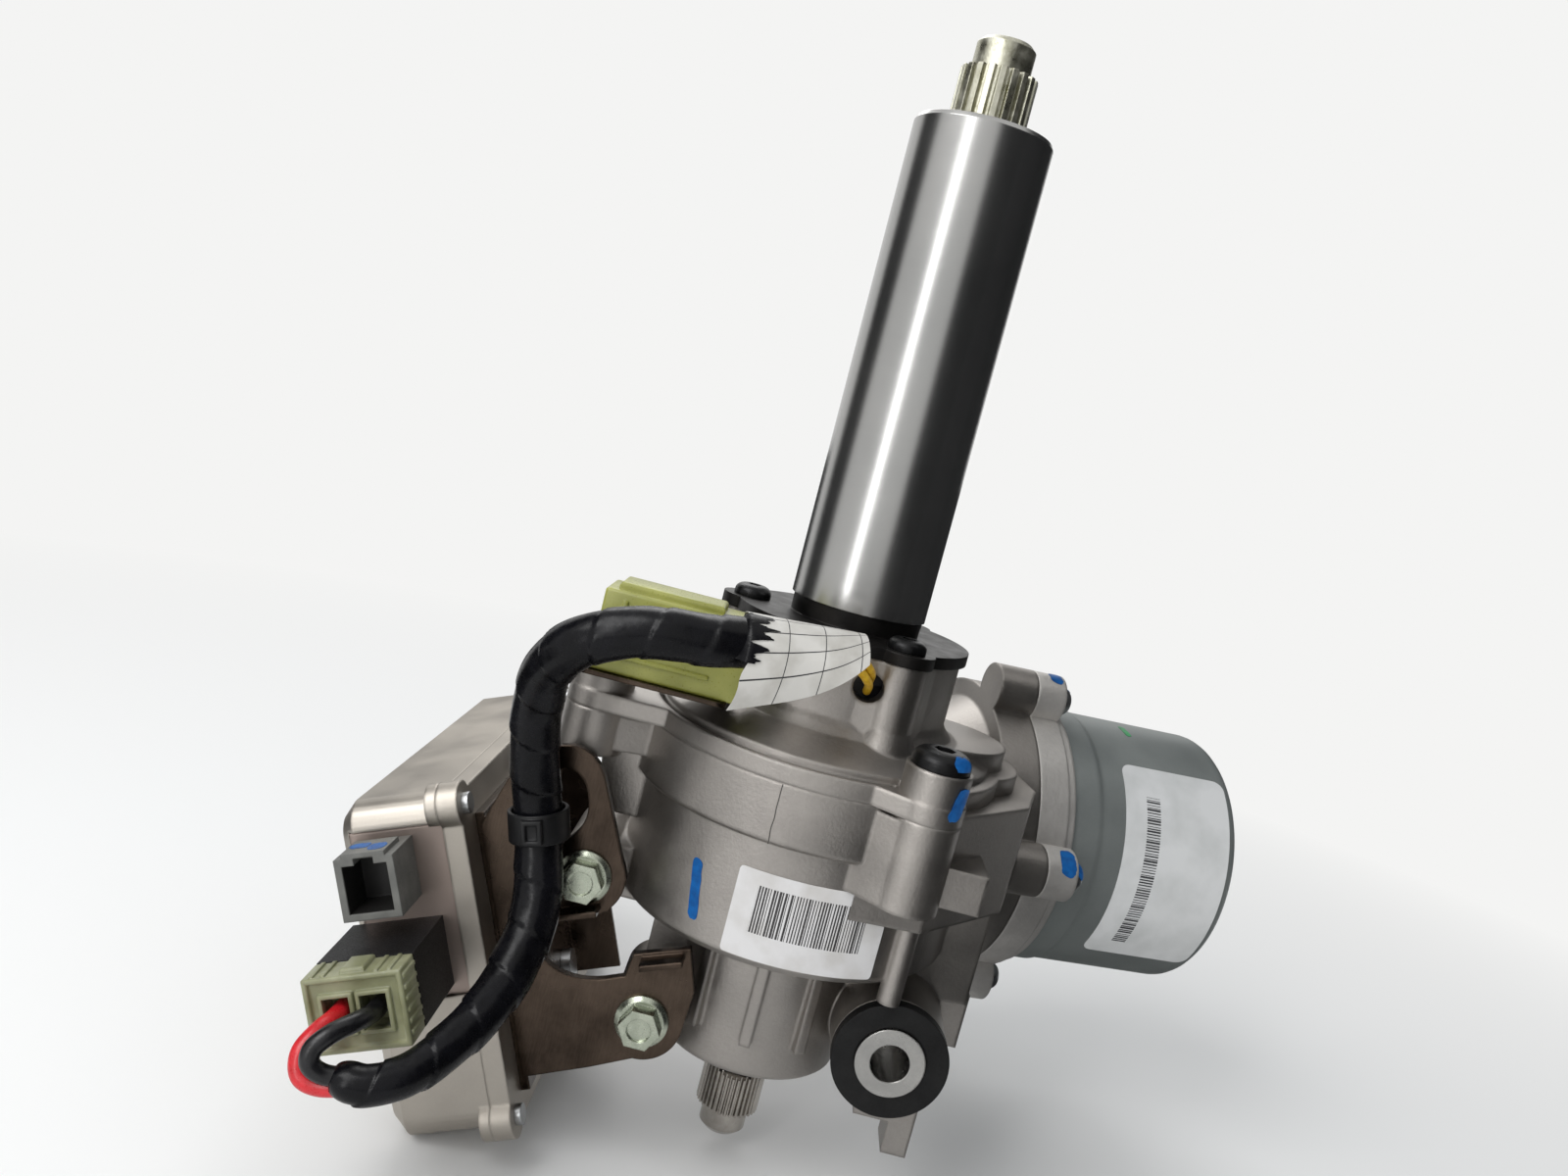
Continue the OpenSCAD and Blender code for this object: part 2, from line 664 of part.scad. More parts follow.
module gear_housing() color("#aeaaa4") difference() {
    union() {
        rotate_extrude($fn = 96) polygon([[0, seam], [rim_r, seam], [rim_r, -step_depth + 1],
            [rim_r - 1, -step_depth], [body_r, -step_depth], [body_r, -body_depth + 2],
            [body_r - 2, -body_depth], [outlet_r + 4, -body_depth - 4], [outlet_r, -body_depth - 8],
            [outlet_r - 1, outlet_low + 1], [outlet_r - 2, outlet_low], [0, outlet_low]]);
        housing_bosses();
        worm_tunnel();
        side_block();
        pivot_arm();
        outlet_ribs();
    }
    translate([0, 0, wheel_low - 4]) cylinder(r = chamber_r, h = seam - wheel_low + 4 + past);
    translate([0, 0, lower_bearing_low]) cylinder(r = lower_bearing_or + seat_gap, h = lower_bearing_t + 10);
    translate([0, 0, seal_low + seal_t])
        cylinder(r = tail_r + 4, h = lower_bearing_low - seal_low - seal_t + past);
    translate([0, 0, outlet_low - past])
        cylinder(r = seal_r + seat_gap, h = seal_low + seal_t - outlet_low + past);
    on_worm() {
        translate([0, 0, -worm_bearing_at]) cylinder(r = worm_bore_r, h = 2 * worm_bearing_at);
        for (a = [0, 180]) rotate([a, 0, 0]) translate([0, 0, worm_bearing_at])
            cylinder(r = worm_bearing_or + seat_gap, h = worm_bearing_t + past);
        translate([0, 0, -tunnel_left - past]) cylinder(r = worm_plug_r + seat_gap, h = worm_plug_t + past);
        translate([0, 0, worm_bearing_at + worm_bearing_t]) cylinder(r = coupling_bore_r,
            h = motor_seat - worm_bearing_at);
        translate([0, 0, motor_seat - spigot_fit_t])
            cylinder(r = spigot_fit_r + seat_gap, h = spigot_fit_t + past);
        motor_screw_holes(ear_top - motor_screw_len, motor_seat + past);
    }
    rod_y(pivot_x, pivot_z, pivot_rubber_r + seat_gap, eye_front - past, eye_back + past);
    rod_y(pivot_x, pivot_z, pivot_collar_r + 2, eye_back, eye_back + 20);
    for (p = cover_screws_at) translate([p[0], p[1], boss_top - cover_screw_len - past])
        cylinder(r = cover_screw_r + screw_gap, h = cover_screw_len);
    for (p = bolts_at)
        rod_y(p[0], p[1], bolt_r + screw_gap, bracket_back - past, bracket_front + bolt_len + past);
}

// Bosses for the cover screws, the bracket bolts and the ribs beside them
module housing_bosses() {
    for (i = [0:3]) let (p = cover_screws_at[i], foot = [front_boss_low, ear_foot, worm_z, worm_z][i])
        translate([p[0], p[1], foot]) cylinder(r = boss_r, h = seam - foot);
    translate([column_at[0], column_at[1], pivot_z + eye_r])
        cylinder(r = column_r, h = seam - 1 - pivot_z - eye_r);
    span(step_block_low, step_block_high);
    translate([0, 0, front_boss_low]) rotate(atan2(front_boss[1], front_boss[0]))
        linear_extrude(seam - past - front_boss_low)
            flared_web(body_r - web_inset, norm(front_boss), boss_r - web_inset);
    plate_y(ear_rib_front, ear_rib_back) polygon(ear_rib_points);
    rotate(atan2(left_ear[1], left_ear[0]))
        span([chamber_r + 2, -boss_r * 0.8, ear_foot + 2],
            [norm(left_ear) - web_stop, boss_r * 0.8, seam - past]);
    rod_y(bolt_1[0], bolt_1[1], bolt_boss_r, bracket_back, 10);
    span([bolt_1[0], -20, bolt_1[1] - 7], [-36, 10, bolt_1[1] + 7]);
    rod_y(bolt_2[0], bolt_2[1], bolt_boss_r, bracket_back, 4);
    span([bolt_2[0] - 4, -14, bolt_2[1]], [-16, 4, -body_depth - 2]);
}

// The tunnel of the worm and the motor's seat
module worm_tunnel() on_worm() {
    translate([0, 0, -tunnel_left])
        cylinder(r = tunnel_r, h = tunnel_left + worm_bearing_at + worm_bearing_t + past);
    translate([0, 0, worm_bearing_at + worm_bearing_t]) cylinder(r1 = tunnel_r, r2 = motor_flange_r - 5,
        h = motor_seat - seat_flange_t - worm_bearing_at - worm_bearing_t + past);
    translate([0, 0, motor_seat - seat_flange_t]) linear_extrude(seat_flange_t) motor_outline();
    for (a = [30, 150, 270]) rotate(a) span([tunnel_r - 3, -2.5, -tunnel_left + 6], [tunnel_r + 3, 2.5, 30]);
}

module motor_outline() {
    circle(motor_flange_r);
    for (i = [0:motor_screws_n - 1]) rotate(motor_ear_turn + i * 360 / motor_screws_n)
        translate([motor_screw_ring, 0]) circle(motor_ear_r);
}

module motor_screw_holes(from, to) for (i = [0:motor_screws_n - 1])
    rotate(motor_ear_turn + i * 360 / motor_screws_n) translate([motor_screw_ring, 0, from])
        cylinder(r = motor_screw_r + screw_gap, h = to - from);

// The squared side of the casting between the ring and the motor
module side_block() {
    translate([0, 0, worm_z - 3]) linear_extrude(seam - worm_z + 3)
        polygon(side_points);
    translate([0, 0, pivot_z + 8]) linear_extrude(worm_z - pivot_z - 8)
        polygon(low_side_points);
}

// The eye of the pivot bush with its web and foot
module pivot_arm() {
    rod_y(pivot_x, pivot_z, eye_r, eye_front, eye_back);
    span([16, -8, pivot_z - 14], [pivot_x, 4, -body_depth]);
    span([pivot_x, -6, pivot_z - 6], [59, 2, pivot_z + 10]);
    translate([pivot_x, -26, pivot_z]) span([6, 0, -31], [13, 12, 0]);
    translate([pivot_x, -26, pivot_z]) span([-4, 0, -22], [13, 5, 0]);
}

// Draft ribs down the output neck
module outlet_ribs() for (a = [200, 235, 268, 300]) rotate(a)
    span([outlet_r - 4, -1.6, outlet_low + 10], [outlet_r + 2, 1.6, -body_depth]);

module sensor_coil() color("#3a3a3c") difference() {
    ring(neck_bore_r - free_gap, coil_ir, coil_low, coil_top);
    ring(neck_bore_r + past, neck_bore_r - 2.5, coil_low + 5, (coil_low + coil_top) / 2 - 2);
    ring(neck_bore_r + past, neck_bore_r - 2.5, (coil_low + coil_top) / 2 + 2, coil_top - 5);
}

module sensor_wires() color("#c9a21e") {
    route = smooth(flag_wire_route, 3);
    for (d = [-1.4, 1.4]) cord([for (p = route) p + [0, 0, d]], sensor_wire_r, 8, [0.3, 0, 1]);
}

module sensor_connector() color("#c6cf7a") translate([connector_left, connector_front, shelf_top]) {
    difference() {
        span([0, 0, 0], [connector_w, connector_d, connector_h - connector_wall]);
        span([connector_w - connector_mouth, connector_wall, connector_wall],
            [connector_w + past, connector_d - connector_wall, connector_h - 2 * connector_wall]);
    }
    span([shelf_edge, connector_wall, connector_h - connector_wall - past],
        [connector_w - connector_step, connector_d - connector_wall, connector_h]);
    for (i = [1:3]) translate([i * connector_rib_pitch - connector_rib_t, 0, 0]) span(
        [0, -connector_rib_t / 2.5, shelf_edge], [connector_rib_t, past, connector_h - 3 * connector_wall]);
}

module connector_bracket() color("#9c9a94") difference() {
    union() {
        translate([0, 0, boss_top]) linear_extrude(shelf_t) {
            translate(left_ear) circle(boss_r + 1);
            round_rect([connector_left - shelf_edge, connector_front - shelf_edge / 2],
                [connector_left + connector_w - 2 * shelf_edge, left_ear[1] + shelf_edge], shelf_edge);
        }
        translate([connector_left - shelf_edge, connector_front, boss_top])
            span([0, shelf_edge, 0], [shelf_t, connector_d - shelf_edge, shelf_t + connector_h / 3]);
    }
    translate([left_ear[0], left_ear[1], boss_top - past])
        cylinder(r = cover_screw_r + screw_gap, h = shelf_t + 2 * past);
    translate([0, 0, boss_top - past]) cylinder(r = neck_r + neck_fillet * 0.6, h = shelf_t + 2 * past);
}

// The flag label wraps loosely round the wires and hangs in a tail
module harness_flag() color("#e9e7e2") translate(flag_at) rotate([0, 0, flag_turn]) rotate([0, 90, 0]) {
    difference() {
        cylinder(r = flag_r, h = flag_len);
        translate([0, 0, -past]) cylinder(r = flag_r - flag_t, h = flag_len + 2 * past);
        span([0, 0, -past], [flag_r + past, flag_r + past, flag_len + past]);
    }
    span([0, flag_r - flag_t, 0], [flag_tail, flag_r, flag_len]);
}

module harness_sleeve() color("#19191a") cord(smooth(sleeve_route, 3), sleeve_r, 12, [0, 1, 0]);

module harness_clip() color("#202021") {
    at = sleeve_route[clip_index];
    t = heading(sleeve_route, clip_index);
    translate(at) rotate([0, acos(t[2]) * (t[0] < 0 ? -1 : 1), 0]) difference() {
        union() {
            translate([0, 0, -4]) cylinder(r = sleeve_r + 2.2, h = 8);
            span([-4, 0, -4], [4, bracket_front - at[1], 4]);
        }
        translate([0, 0, -4 - past]) cylinder(r = sleeve_r + 0.9, h = 8 + 2 * past);
    }
}

function plug_face(k) = let (t = power_left + plug_w / 2 + k * lead_pitch / 2,
    p = ecu_point(t, power_low + plug_h / 2)) [p[0], ecu_front - power_out - plug_out, p[1]];
function lead_route(k) = let (a = plug_face(k) + [0, lead_seat - 1, 0], b = sleeve_route[0])
    k < 0 ? [a, a + [0, -lead_seat - 4, 0], b + [-9, 3.5, 3.5], b + [-8, 0, -2.5], b + [-1.4, 0, -2.6]]
        : [a, a + [0, -lead_seat - 4, 0], b + [-2.5, 0, 9.5], b + [-5, -3.5, 5], b + [-1.4, 0, 2.6]];

module red_lead() color("#c41d25") cord(smooth(lead_route(-1), 4), lead_r, 8, [1, 0, 0.2]);

module black_lead() color("#1b1b1c") cord(smooth(lead_route(1), 4), lead_r, 8, [1, 0, 0.2]);

module power_plug() color("#c3cd7c") on_ecu() translate([power_left, 0, power_low]) difference() {
    union() {
        span([0, ecu_front - power_out - plug_out, 0], [plug_w, ecu_front - power_out + plug_in, plug_h]);
        span([-socket_wall, ecu_front - power_out - plug_out, -socket_wall],
            [plug_w + socket_wall, ecu_front - power_out - free_gap, plug_h + socket_wall]);
        span([plug_w / 2 - 3, ecu_front - power_out - plug_out + 2, plug_h],
            [plug_w / 2 + 3, ecu_front - power_out - free_gap, plug_h + socket_wall + 1.5]);
    }
    for (k = [-1, 1])
        translate([plug_w / 2 + k * lead_pitch / 2, ecu_front - power_out - plug_out + lead_seat, plug_h / 2])
            rotate([90, 0, 0]) cylinder(r = lead_r + 0.7, h = lead_seat + past);
}

module power_socket() color("#1e1e20") on_ecu() difference() {
    span([power_left - socket_wall - seat_gap, ecu_front - power_out, power_low - socket_wall - seat_gap],
        [power_left + plug_w + socket_wall + seat_gap, header_front,
            power_low + plug_h + socket_wall + seat_gap]);
    span([power_left - seat_gap, ecu_front - power_out - past, power_low - seat_gap],
        [power_left + plug_w + seat_gap, ecu_front - power_out + plug_in + 1, power_low + plug_h + seat_gap]);
}

module signal_socket() color("#8d9093") on_ecu() {
    difference() {
        span([signal_left, header_front - signal_out, signal_low],
            [signal_left + signal_w, header_front, signal_low + signal_h]);
        span([signal_left + socket_wall, header_front - signal_out - past, signal_low + socket_wall],
            [signal_left + signal_w - socket_wall, header_front - 3, signal_low + signal_h - socket_wall]);
        span([signal_left + 5, header_front - signal_out - past, signal_low + signal_h - socket_wall - past],
            [signal_left + signal_w - 5, header_front - signal_out + 5, signal_low + signal_h + past]);
    }
    span([signal_left + 2, header_front - signal_out, signal_low + signal_h],
        [signal_left + signal_w - 2, header_front - 4, signal_low + signal_h + 1.2]);
}

module ecu_cover() color("#b9b6b0") on_ecu() difference() {
    union() {
        hull() {
            ecu_slab(ecu_left, ecu_left + 0.1, ecu_round);
            ecu_slab(ecu_left + ecu_round, ecu_seam, 0);
        }
        for (p = ecu_ears) ecu_rod(p, ecu_ear_r, ecu_seam - ecu_ear_t, ecu_seam);
    }
    hull() {
        ecu_slab(ecu_left + ecu_wall, ecu_left + ecu_wall + 0.1, ecu_round + ecu_wall);
        ecu_slab(ecu_left + ecu_round + ecu_wall, ecu_seam + past, ecu_wall);
    }
    span([notch_left, ecu_front - past, notch_low], [ecu_seam + past, ecu_front + 6, notch_high]);
    for (p = ecu_ears) ecu_rod(p, small_screw_r + screw_gap, ecu_seam - ecu_ear_t - past, ecu_seam + past);
}

module ecu_base() color("#a9a69f") on_ecu() difference() {
    union() {
        ecu_slab(ecu_seam, ecu_right, 0);
        for (p = ecu_ears) ecu_rod(p, ecu_ear_r, ecu_seam, ecu_right);
        for (p = posts) ecu_rod(p, post_r, board_at + board_t, ecu_seam + past);
        span([notch_left + free_gap, header_front, notch_low + free_gap],
            [ecu_seam + past, header_front + header_t, notch_high - free_gap]);
    }
    for (p = posts) ecu_rod(p, small_screw_r + screw_gap, board_at, ecu_seam);
    for (p = ecu_ears) ecu_rod(p, small_screw_r + screw_gap, ecu_seam - past, ecu_right + past);
    for (p = flange_screws_at) ecu_rod(p, bracket_screw_r + screw_gap, ecu_seam + 1, ecu_right + past);
}

module ecu_board() color("#2f5f3d") on_ecu() difference() {
    ecu_slab(board_at, board_at + board_t, board_in);
    for (p = posts) ecu_rod(p, small_screw_r + screw_gap, board_at - past, board_at + board_t + past);
}

module ecu_screws() color("#8a8d90") on_ecu() {
    for (p = posts) {
        ecu_rod(p, small_head_r, board_at - small_head_h, board_at);
        ecu_rod(p, small_screw_r, board_at - past, board_at + 8);
    }
    for (p = ecu_ears) {
        ecu_rod(p, small_head_r, ecu_right, ecu_right + small_head_h);
        ecu_rod(p, small_screw_r, ecu_seam - ecu_ear_t, ecu_right + past);
    }
}

// An outline with each corner cut, and an open line so softened twice between its ends
function cut_corners(p) = [for (i = [0:len(p) - 1]) let (a = p[i], b = p[(i + 1) % len(p)])
    each [0.75 * a + 0.25 * b, 0.25 * a + 0.75 * b]];
function cut_line(p) = concat([p[0]], [for (i = [0:len(p) - 2]) each [0.75 * p[i] + 0.25 * p[i + 1],
    0.25 * p[i] + 0.75 * p[i + 1]]], [p[len(p) - 1]]);
function eased(p) = cut_line(cut_line(p));

// The bracket's plate has an upper strap and a lower arm off a flange on the control unit
module bracket_outline() difference() {
    union() {
        polygon(concat([ecu_point(ecu_right + bracket_t / 2, flange_high - 3)], eased(strap_points),
            [bolt_1 + [pad_r, 2], lip_1[1], lip_1[0]], eased(gap_points), lip_2, [arm_points[0], bolt_2 + [pad_r, 0],
            bolt_2 + [0, -pad_r], arm_points[1], ecu_point(ecu_right + bracket_t / 2, flange_low + 4)]));
        for (p = bolts_at) translate(p) circle(pad_r);
    }
    polygon(cut_corners(cut_corners(window_points)));
    for (p = bolts_at) translate(p) circle(bolt_r + 2 * screw_gap);
}

// A lip turned out from the plate's edge, on the side given
module bracket_lip(ends, side) let (u = unit(ends[1] - ends[0]), n = side * [-u[1], u[0]],
    a = ends[0] + 2 * past * u, b = ends[1] - 2 * past * u)
    plate_y(bracket_front - lip_out, bracket_back - past)
        polygon([a + past * n, b + past * n, b + bracket_t * n, a + bracket_t * n]);

// The plate, its lips, and the flange on the control unit with its back leg
module ecu_bracket() color("#7d746a") difference() {
    union() {
        plate_y(bracket_front, bracket_back) bracket_outline();
        on_ecu() span([ecu_right, bracket_front + bracket_t / 4, flange_low],
            [ecu_right + bracket_t, flange_back, flange_high]);
        on_ecu() span([ecu_right + past, flange_back - bracket_t, flange_low + back_leg_in],
            [ecu_right + back_leg, flange_back - past, flange_high - back_leg_in]);
        bracket_lip(lip_1, 1);
        bracket_lip(lip_2, -1);
    }
    on_ecu() for (p = flange_screws_at) ecu_rod(p, bracket_screw_r + screw_gap, ecu_right - past,
        ecu_right + bracket_t + past);
}

// Hexagon flange bolts into the housing's bosses
module bracket_bolts() color("#b7b893") for (p = bolts_at)
    translate([p[0], bracket_front, p[1]]) rotate([90, 0, 0]) {
    rotate_extrude() polygon([[0, 0], [bolt_flange_r, 0], [bolt_flange_r, bolt_flange_t / 2],
        [bolt_flange_r - 1.2, bolt_flange_t], [0, bolt_flange_t + 0.4]]);
    difference() {
        cylinder(r = bolt_hex / 2 / cos(30), h = bolt_head_h, $fn = 6);
        translate([0, 0, bolt_head_h - 0.8]) cylinder(r = bolt_hex * 0.32, h = 2);
    }
    translate([0, 0, -bolt_len]) cylinder(r = bolt_r, h = bolt_len + past);
}

module bracket_screws() color("#9a9c9e") on_ecu() for (p = flange_screws_at) {
    ecu_rod(p, bracket_head_r, ecu_right + bracket_t, ecu_right + bracket_t + bracket_head_h);
    ecu_rod(p, bracket_screw_r, ecu_seam + 1.5, ecu_right + bracket_t + past);
}

module pivot_rubber() color("#161617") difference() {
    union() {
        rod_y(pivot_x, pivot_z, pivot_rubber_r, eye_front - past, eye_back);
        rod_y(pivot_x, pivot_z, pivot_lip_r, lip_front, eye_front);
    }
    rod_y(pivot_x, pivot_z, pivot_collar_r + seat_gap, lip_front - past, eye_back + past);
}

module pivot_collar() color("#9b9ea2") difference() {
    rod_y(pivot_x, pivot_z, pivot_collar_r, collar_front, collar_back);
    rod_y(pivot_x, pivot_z, pivot_hole_r, collar_front - past, collar_back + past);
}

module motor_flange() color("#b5b2ac") on_worm() difference() {
    union() {
        translate([0, 0, motor_seat]) linear_extrude(motor_ear_t) motor_outline();
        translate([0, 0, motor_seat + past]) cylinder(r = motor_rim_r, h = motor_flange_t - past);
        translate([0, 0, motor_seat - spigot_fit_t + 1]) cylinder(r = spigot_fit_r, h = spigot_fit_t);
    }
    translate([0, 0, front_bearing_at]) cylinder(r = motor_bearing_or + seat_gap, h = motor_flange_t);
    translate([0, 0, motor_seat - spigot_fit_t]) cylinder(r = motor_bearing_ir + 3, h = motor_flange_t);
    translate([0, 0, front_bearing_at + motor_bearing_t]) cylinder(r = can_ir - 4, h = motor_flange_t);
    motor_screw_holes(motor_seat - past, ear_top + past);
}

module motor_screws() color("#a9abac") on_worm() for (i = [0:motor_screws_n - 1])
    rotate(motor_ear_turn + i * 360 / motor_screws_n) translate([motor_screw_ring, 0, ear_top]) {
        socket_head(motor_head_r, motor_head_h);
        translate([0, 0, -motor_screw_len]) cylinder(r = motor_screw_r, h = motor_screw_len + past);
    }

module motor_can() color("#a7abac") on_worm() rotate_extrude($fn = 96) {
    polygon(concat([[can_ir, can_at], [can_collar_r, can_at], [can_collar_r, can_at + can_collar_len],
        [can_r, can_at + can_collar_len + 1.5]],
        [for (a = [0:15:90]) [can_r - can_round, can_end - can_round] + can_round * [cos(a), sin(a)]],
        [[pocket_r, can_end], [pocket_r, can_end + pocket_out], [0, can_end + pocket_out],
        [0, can_end + pocket_out - can_wall],
        [pocket_r - can_wall + seat_gap, can_end + pocket_out - can_wall],
        [pocket_r - can_wall + seat_gap, can_end - can_wall], [can_ir - can_round, can_end - can_wall],
        [can_ir, can_end - can_wall - can_round]]));
}

module stator_core() color("#6d6f72") on_worm() translate([0, 0, stator_at]) linear_extrude(stator_len) {
    difference() {
        circle(can_ir - free_gap);
        circle(can_ir - free_gap - stator_yoke);
    }
    for (i = [0:stator_slots - 1]) rotate(i * 360 / stator_slots) intersection() {
        union() {
            translate([stator_bore_r, -2.6]) square([can_ir - stator_yoke - stator_bore_r, 5.2]);
            translate([stator_bore_r - 2, -5.2]) square([3.6, 10.4]);
        }
        difference() {
            circle(can_ir - stator_yoke);
            circle(stator_bore_r);
        }
    }
}

// Windings stand on both ends of the core
module stator_windings() color("#a5572b") on_worm()
    for (at = [stator_at - winding_out, stator_at + stator_len]) translate([0, 0, at])
        ring(can_ir - stator_yoke - 1, stator_bore_r + 2, 0, winding_out);

// A bearing's outer ring with its shields
module bearing_outer(outer, inner, t) difference() {
    cylinder(r = outer, h = t);
    translate([0, 0, -past]) cylinder(r = inner + (outer - inner) * 0.35 + free_gap, h = t + 2 * past);
}

// A bearing's inner ring
module bearing_inner(outer, inner, t) difference() {
    cylinder(r = inner + (outer - inner) * 0.35, h = t);
    translate([0, 0, -past]) cylinder(r = inner + seat_gap / 2, h = t + 2 * past);
}

module motor_bearing_outers() color("#8c8f93") on_worm() for (at = [front_bearing_at, rear_bearing_at])
    translate([0, 0, at]) bearing_outer(motor_bearing_or, motor_bearing_ir, motor_bearing_t);

module motor_bearing_inners() color("#9b9ea2") on_worm() for (at = [front_bearing_at, rear_bearing_at])
    translate([0, 0, at]) bearing_inner(motor_bearing_or, motor_bearing_ir, motor_bearing_t);

module worm_bearing_outers() color("#8c8f93") on_worm() for (a = [0, 180]) rotate([a, 0, 0])
    translate([0, 0, worm_bearing_at]) bearing_outer(worm_bearing_or, worm_bearing_ir, worm_bearing_t);

module worm_bearing_inners() color("#9b9ea2") on_worm() for (a = [0, 180]) rotate([a, 0, 0])
    translate([0, 0, worm_bearing_at]) bearing_inner(worm_bearing_or, worm_bearing_ir, worm_bearing_t);

module worm_plug() color("#85878a") on_worm() translate([0, 0, -tunnel_left]) difference() {
    cylinder(r = worm_plug_r, h = worm_plug_t - free_gap);
    translate([0, 0, -past]) cylinder(r = 6, h = 5 + past, $fn = 6);
    translate([0, 0, worm_plug_t - 2]) cylinder(r = worm_bearing_ir + 4, h = 3);
}

module output_bearing_outers() color("#8c8f93") {
    translate([0, 0, upper_bearing_z]) bearing_outer(upper_bearing_or, bearing_ir, upper_bearing_t);
    translate([0, 0, lower_bearing_low]) bearing_outer(lower_bearing_or, bearing_ir, lower_bearing_t);
}

module output_bearing_inners() color("#9b9ea2") {
    translate([0, 0, upper_bearing_z]) bearing_inner(upper_bearing_or, bearing_ir, upper_bearing_t);
    translate([0, 0, lower_bearing_low]) bearing_inner(lower_bearing_or, bearing_ir, lower_bearing_t);
}

module output_seal() color("#2b2624") rotate_extrude() polygon([[tail_r + free_gap, seal_low + 1],
    [tail_r + 3, seal_low], [seal_r, seal_low], [seal_r, seal_low + seal_t], [seal_r - 2, seal_low + seal_t],
    [seal_r - 2, seal_low + 2], [tail_r + 3, seal_low + 2], [tail_r + free_gap, seal_low + 4]]);

module output_shaft() color("#7f8184") difference() {
    union() {
        rotate_extrude() polygon([[0, stop_top], [head_r, stop_top], [head_r, head_low],
            [bearing_ir, head_low], [bearing_ir, upper_bearing_z - 1], [shaft_r, upper_bearing_z - 1],
            [shaft_r, wheel_low],
            [shoulder_r, wheel_low], [shoulder_r, lower_bearing_top], [bearing_ir, lower_bearing_top],
            [bearing_ir, lower_bearing_low], [tail_r, lower_bearing_low - 1], [tail_r, outlet_low - 0.5],
            [nose_r, serration_top], [nose_r, nose_low + 1.5], [nose_r - 1.5, nose_low], [0, nose_low]]);
        translate([0, 0, serration_low]) linear_extrude(serration_len)
            toothed(serration_teeth, serration_od / 2, serration_od / 2 - tooth_depth, 0.5);
    }
    translate([0, 0, pilot_low - 1]) cylinder(r = pilot_r + run_gap, h = stop_top - pilot_low + 1 + past);
    translate([0, 0, torsion_low - 2]) cylinder(r = torsion_end_r + run_gap, h = pilot_low - torsion_low + 2);
    translate([0, 0, stop_top - stop_h - 0.5]) for (a = [-stop_turn - stop_gap, 0, stop_turn + stop_gap])
        rotate(a) linear_extrude(stop_h + past) stop_bar(free_gap);
    translate([0, 0, stop_top - stop_h - 0.5]) cylinder(r = input_r + 1.2, h = stop_h + past);
    translate([-serration_od, clamp_y, clamp_z]) rotate([0, 90, 0])
        cylinder(r = clamp_r, h = 2 * serration_od);
}

// The bar that limits the turn between input and output
module stop_bar(gap) intersection() {
    square([2 * stop_reach + 2 * gap, stop_w + 2 * gap], center = true);
    circle(stop_reach + gap);
}

// A toothed outline; crest is the share of each pitch at full radius
module toothed(n, outer, root, crest) polygon([for (i = [0:n - 1]) let (p = 360 / n)
    each [[root * cos((i - 0.5 + 0.12) * p), root * sin((i - 0.5 + 0.12) * p)],
        [outer * cos((i - crest / 3) * p), outer * sin((i - crest / 3) * p)],
        [outer * cos((i + crest / 3) * p), outer * sin((i + crest / 3) * p)],
        [root * cos((i + 0.5 - 0.12) * p), root * sin((i + 0.5 - 0.12) * p)]]]);

module wheel_hub() color("#77797c") difference() {
    ring(hub_r, shaft_r + seat_gap / 2, wheel_low, wheel_top);
    for (a = [0:60:359]) rotate(a) translate([(hub_r + shaft_r) / 2, 0, wheel_low - past])
        cylinder(r = 4, h = wheel_w + 2 * past);
}

// The wheel's teeth lean with the worm's thread, and one tooth faces the worm
module wheel_ring() color("#e3dcc6") difference() {
    translate([0, 0, wheel_low]) rotate(worm_turn - wheel_twist / 2)
        linear_extrude(wheel_w, twist = -wheel_twist, slices = 3, convexity = 6) wheel_outline();
    translate([0, 0, wheel_low - past]) cylinder(r = hub_r + seat_gap / 2, h = wheel_w + 2 * past);
}

module wheel_outline() {
    thickness = PI * gear_module / 2 - backlash / 2;
    radii = [wheel_root_r, wheel_pitch_r, wheel_tip_r];
    polygon([for (i = [0:wheel_teeth - 1]) each concat(
        [for (r = radii) let (a = 90 + i * 360 / wheel_teeth - flank_angle(r, thickness))
            r * [cos(a), sin(a)]],
        [for (j = [2:-1:0]) let (r = radii[j], a = 90 + i * 360 / wheel_teeth + flank_angle(r, thickness))
            r * [cos(a), sin(a)]])]);
}

module sensor_lower_ring() color("#8a8478") difference() {
    ring(ring_r, head_r + seat_gap / 2, lower_ring_top - lower_ring_h, lower_ring_top);
    for (a = [0:30:359]) rotate(a) span([ring_r - 2, -2, lower_ring_top - lower_ring_h + 3],
        [ring_r + past, 2, lower_ring_top + past]);
}

module sensor_upper_ring() color("#8a8478") difference() {
    ring(ring_r, input_r + seat_gap / 2, upper_ring_top - upper_ring_h, upper_ring_top);
    for (a = [15:30:359]) rotate(a) span([ring_r - 2, -2, upper_ring_top - upper_ring_h - past],
        [ring_r + past, 2, upper_ring_top - 2]);
}

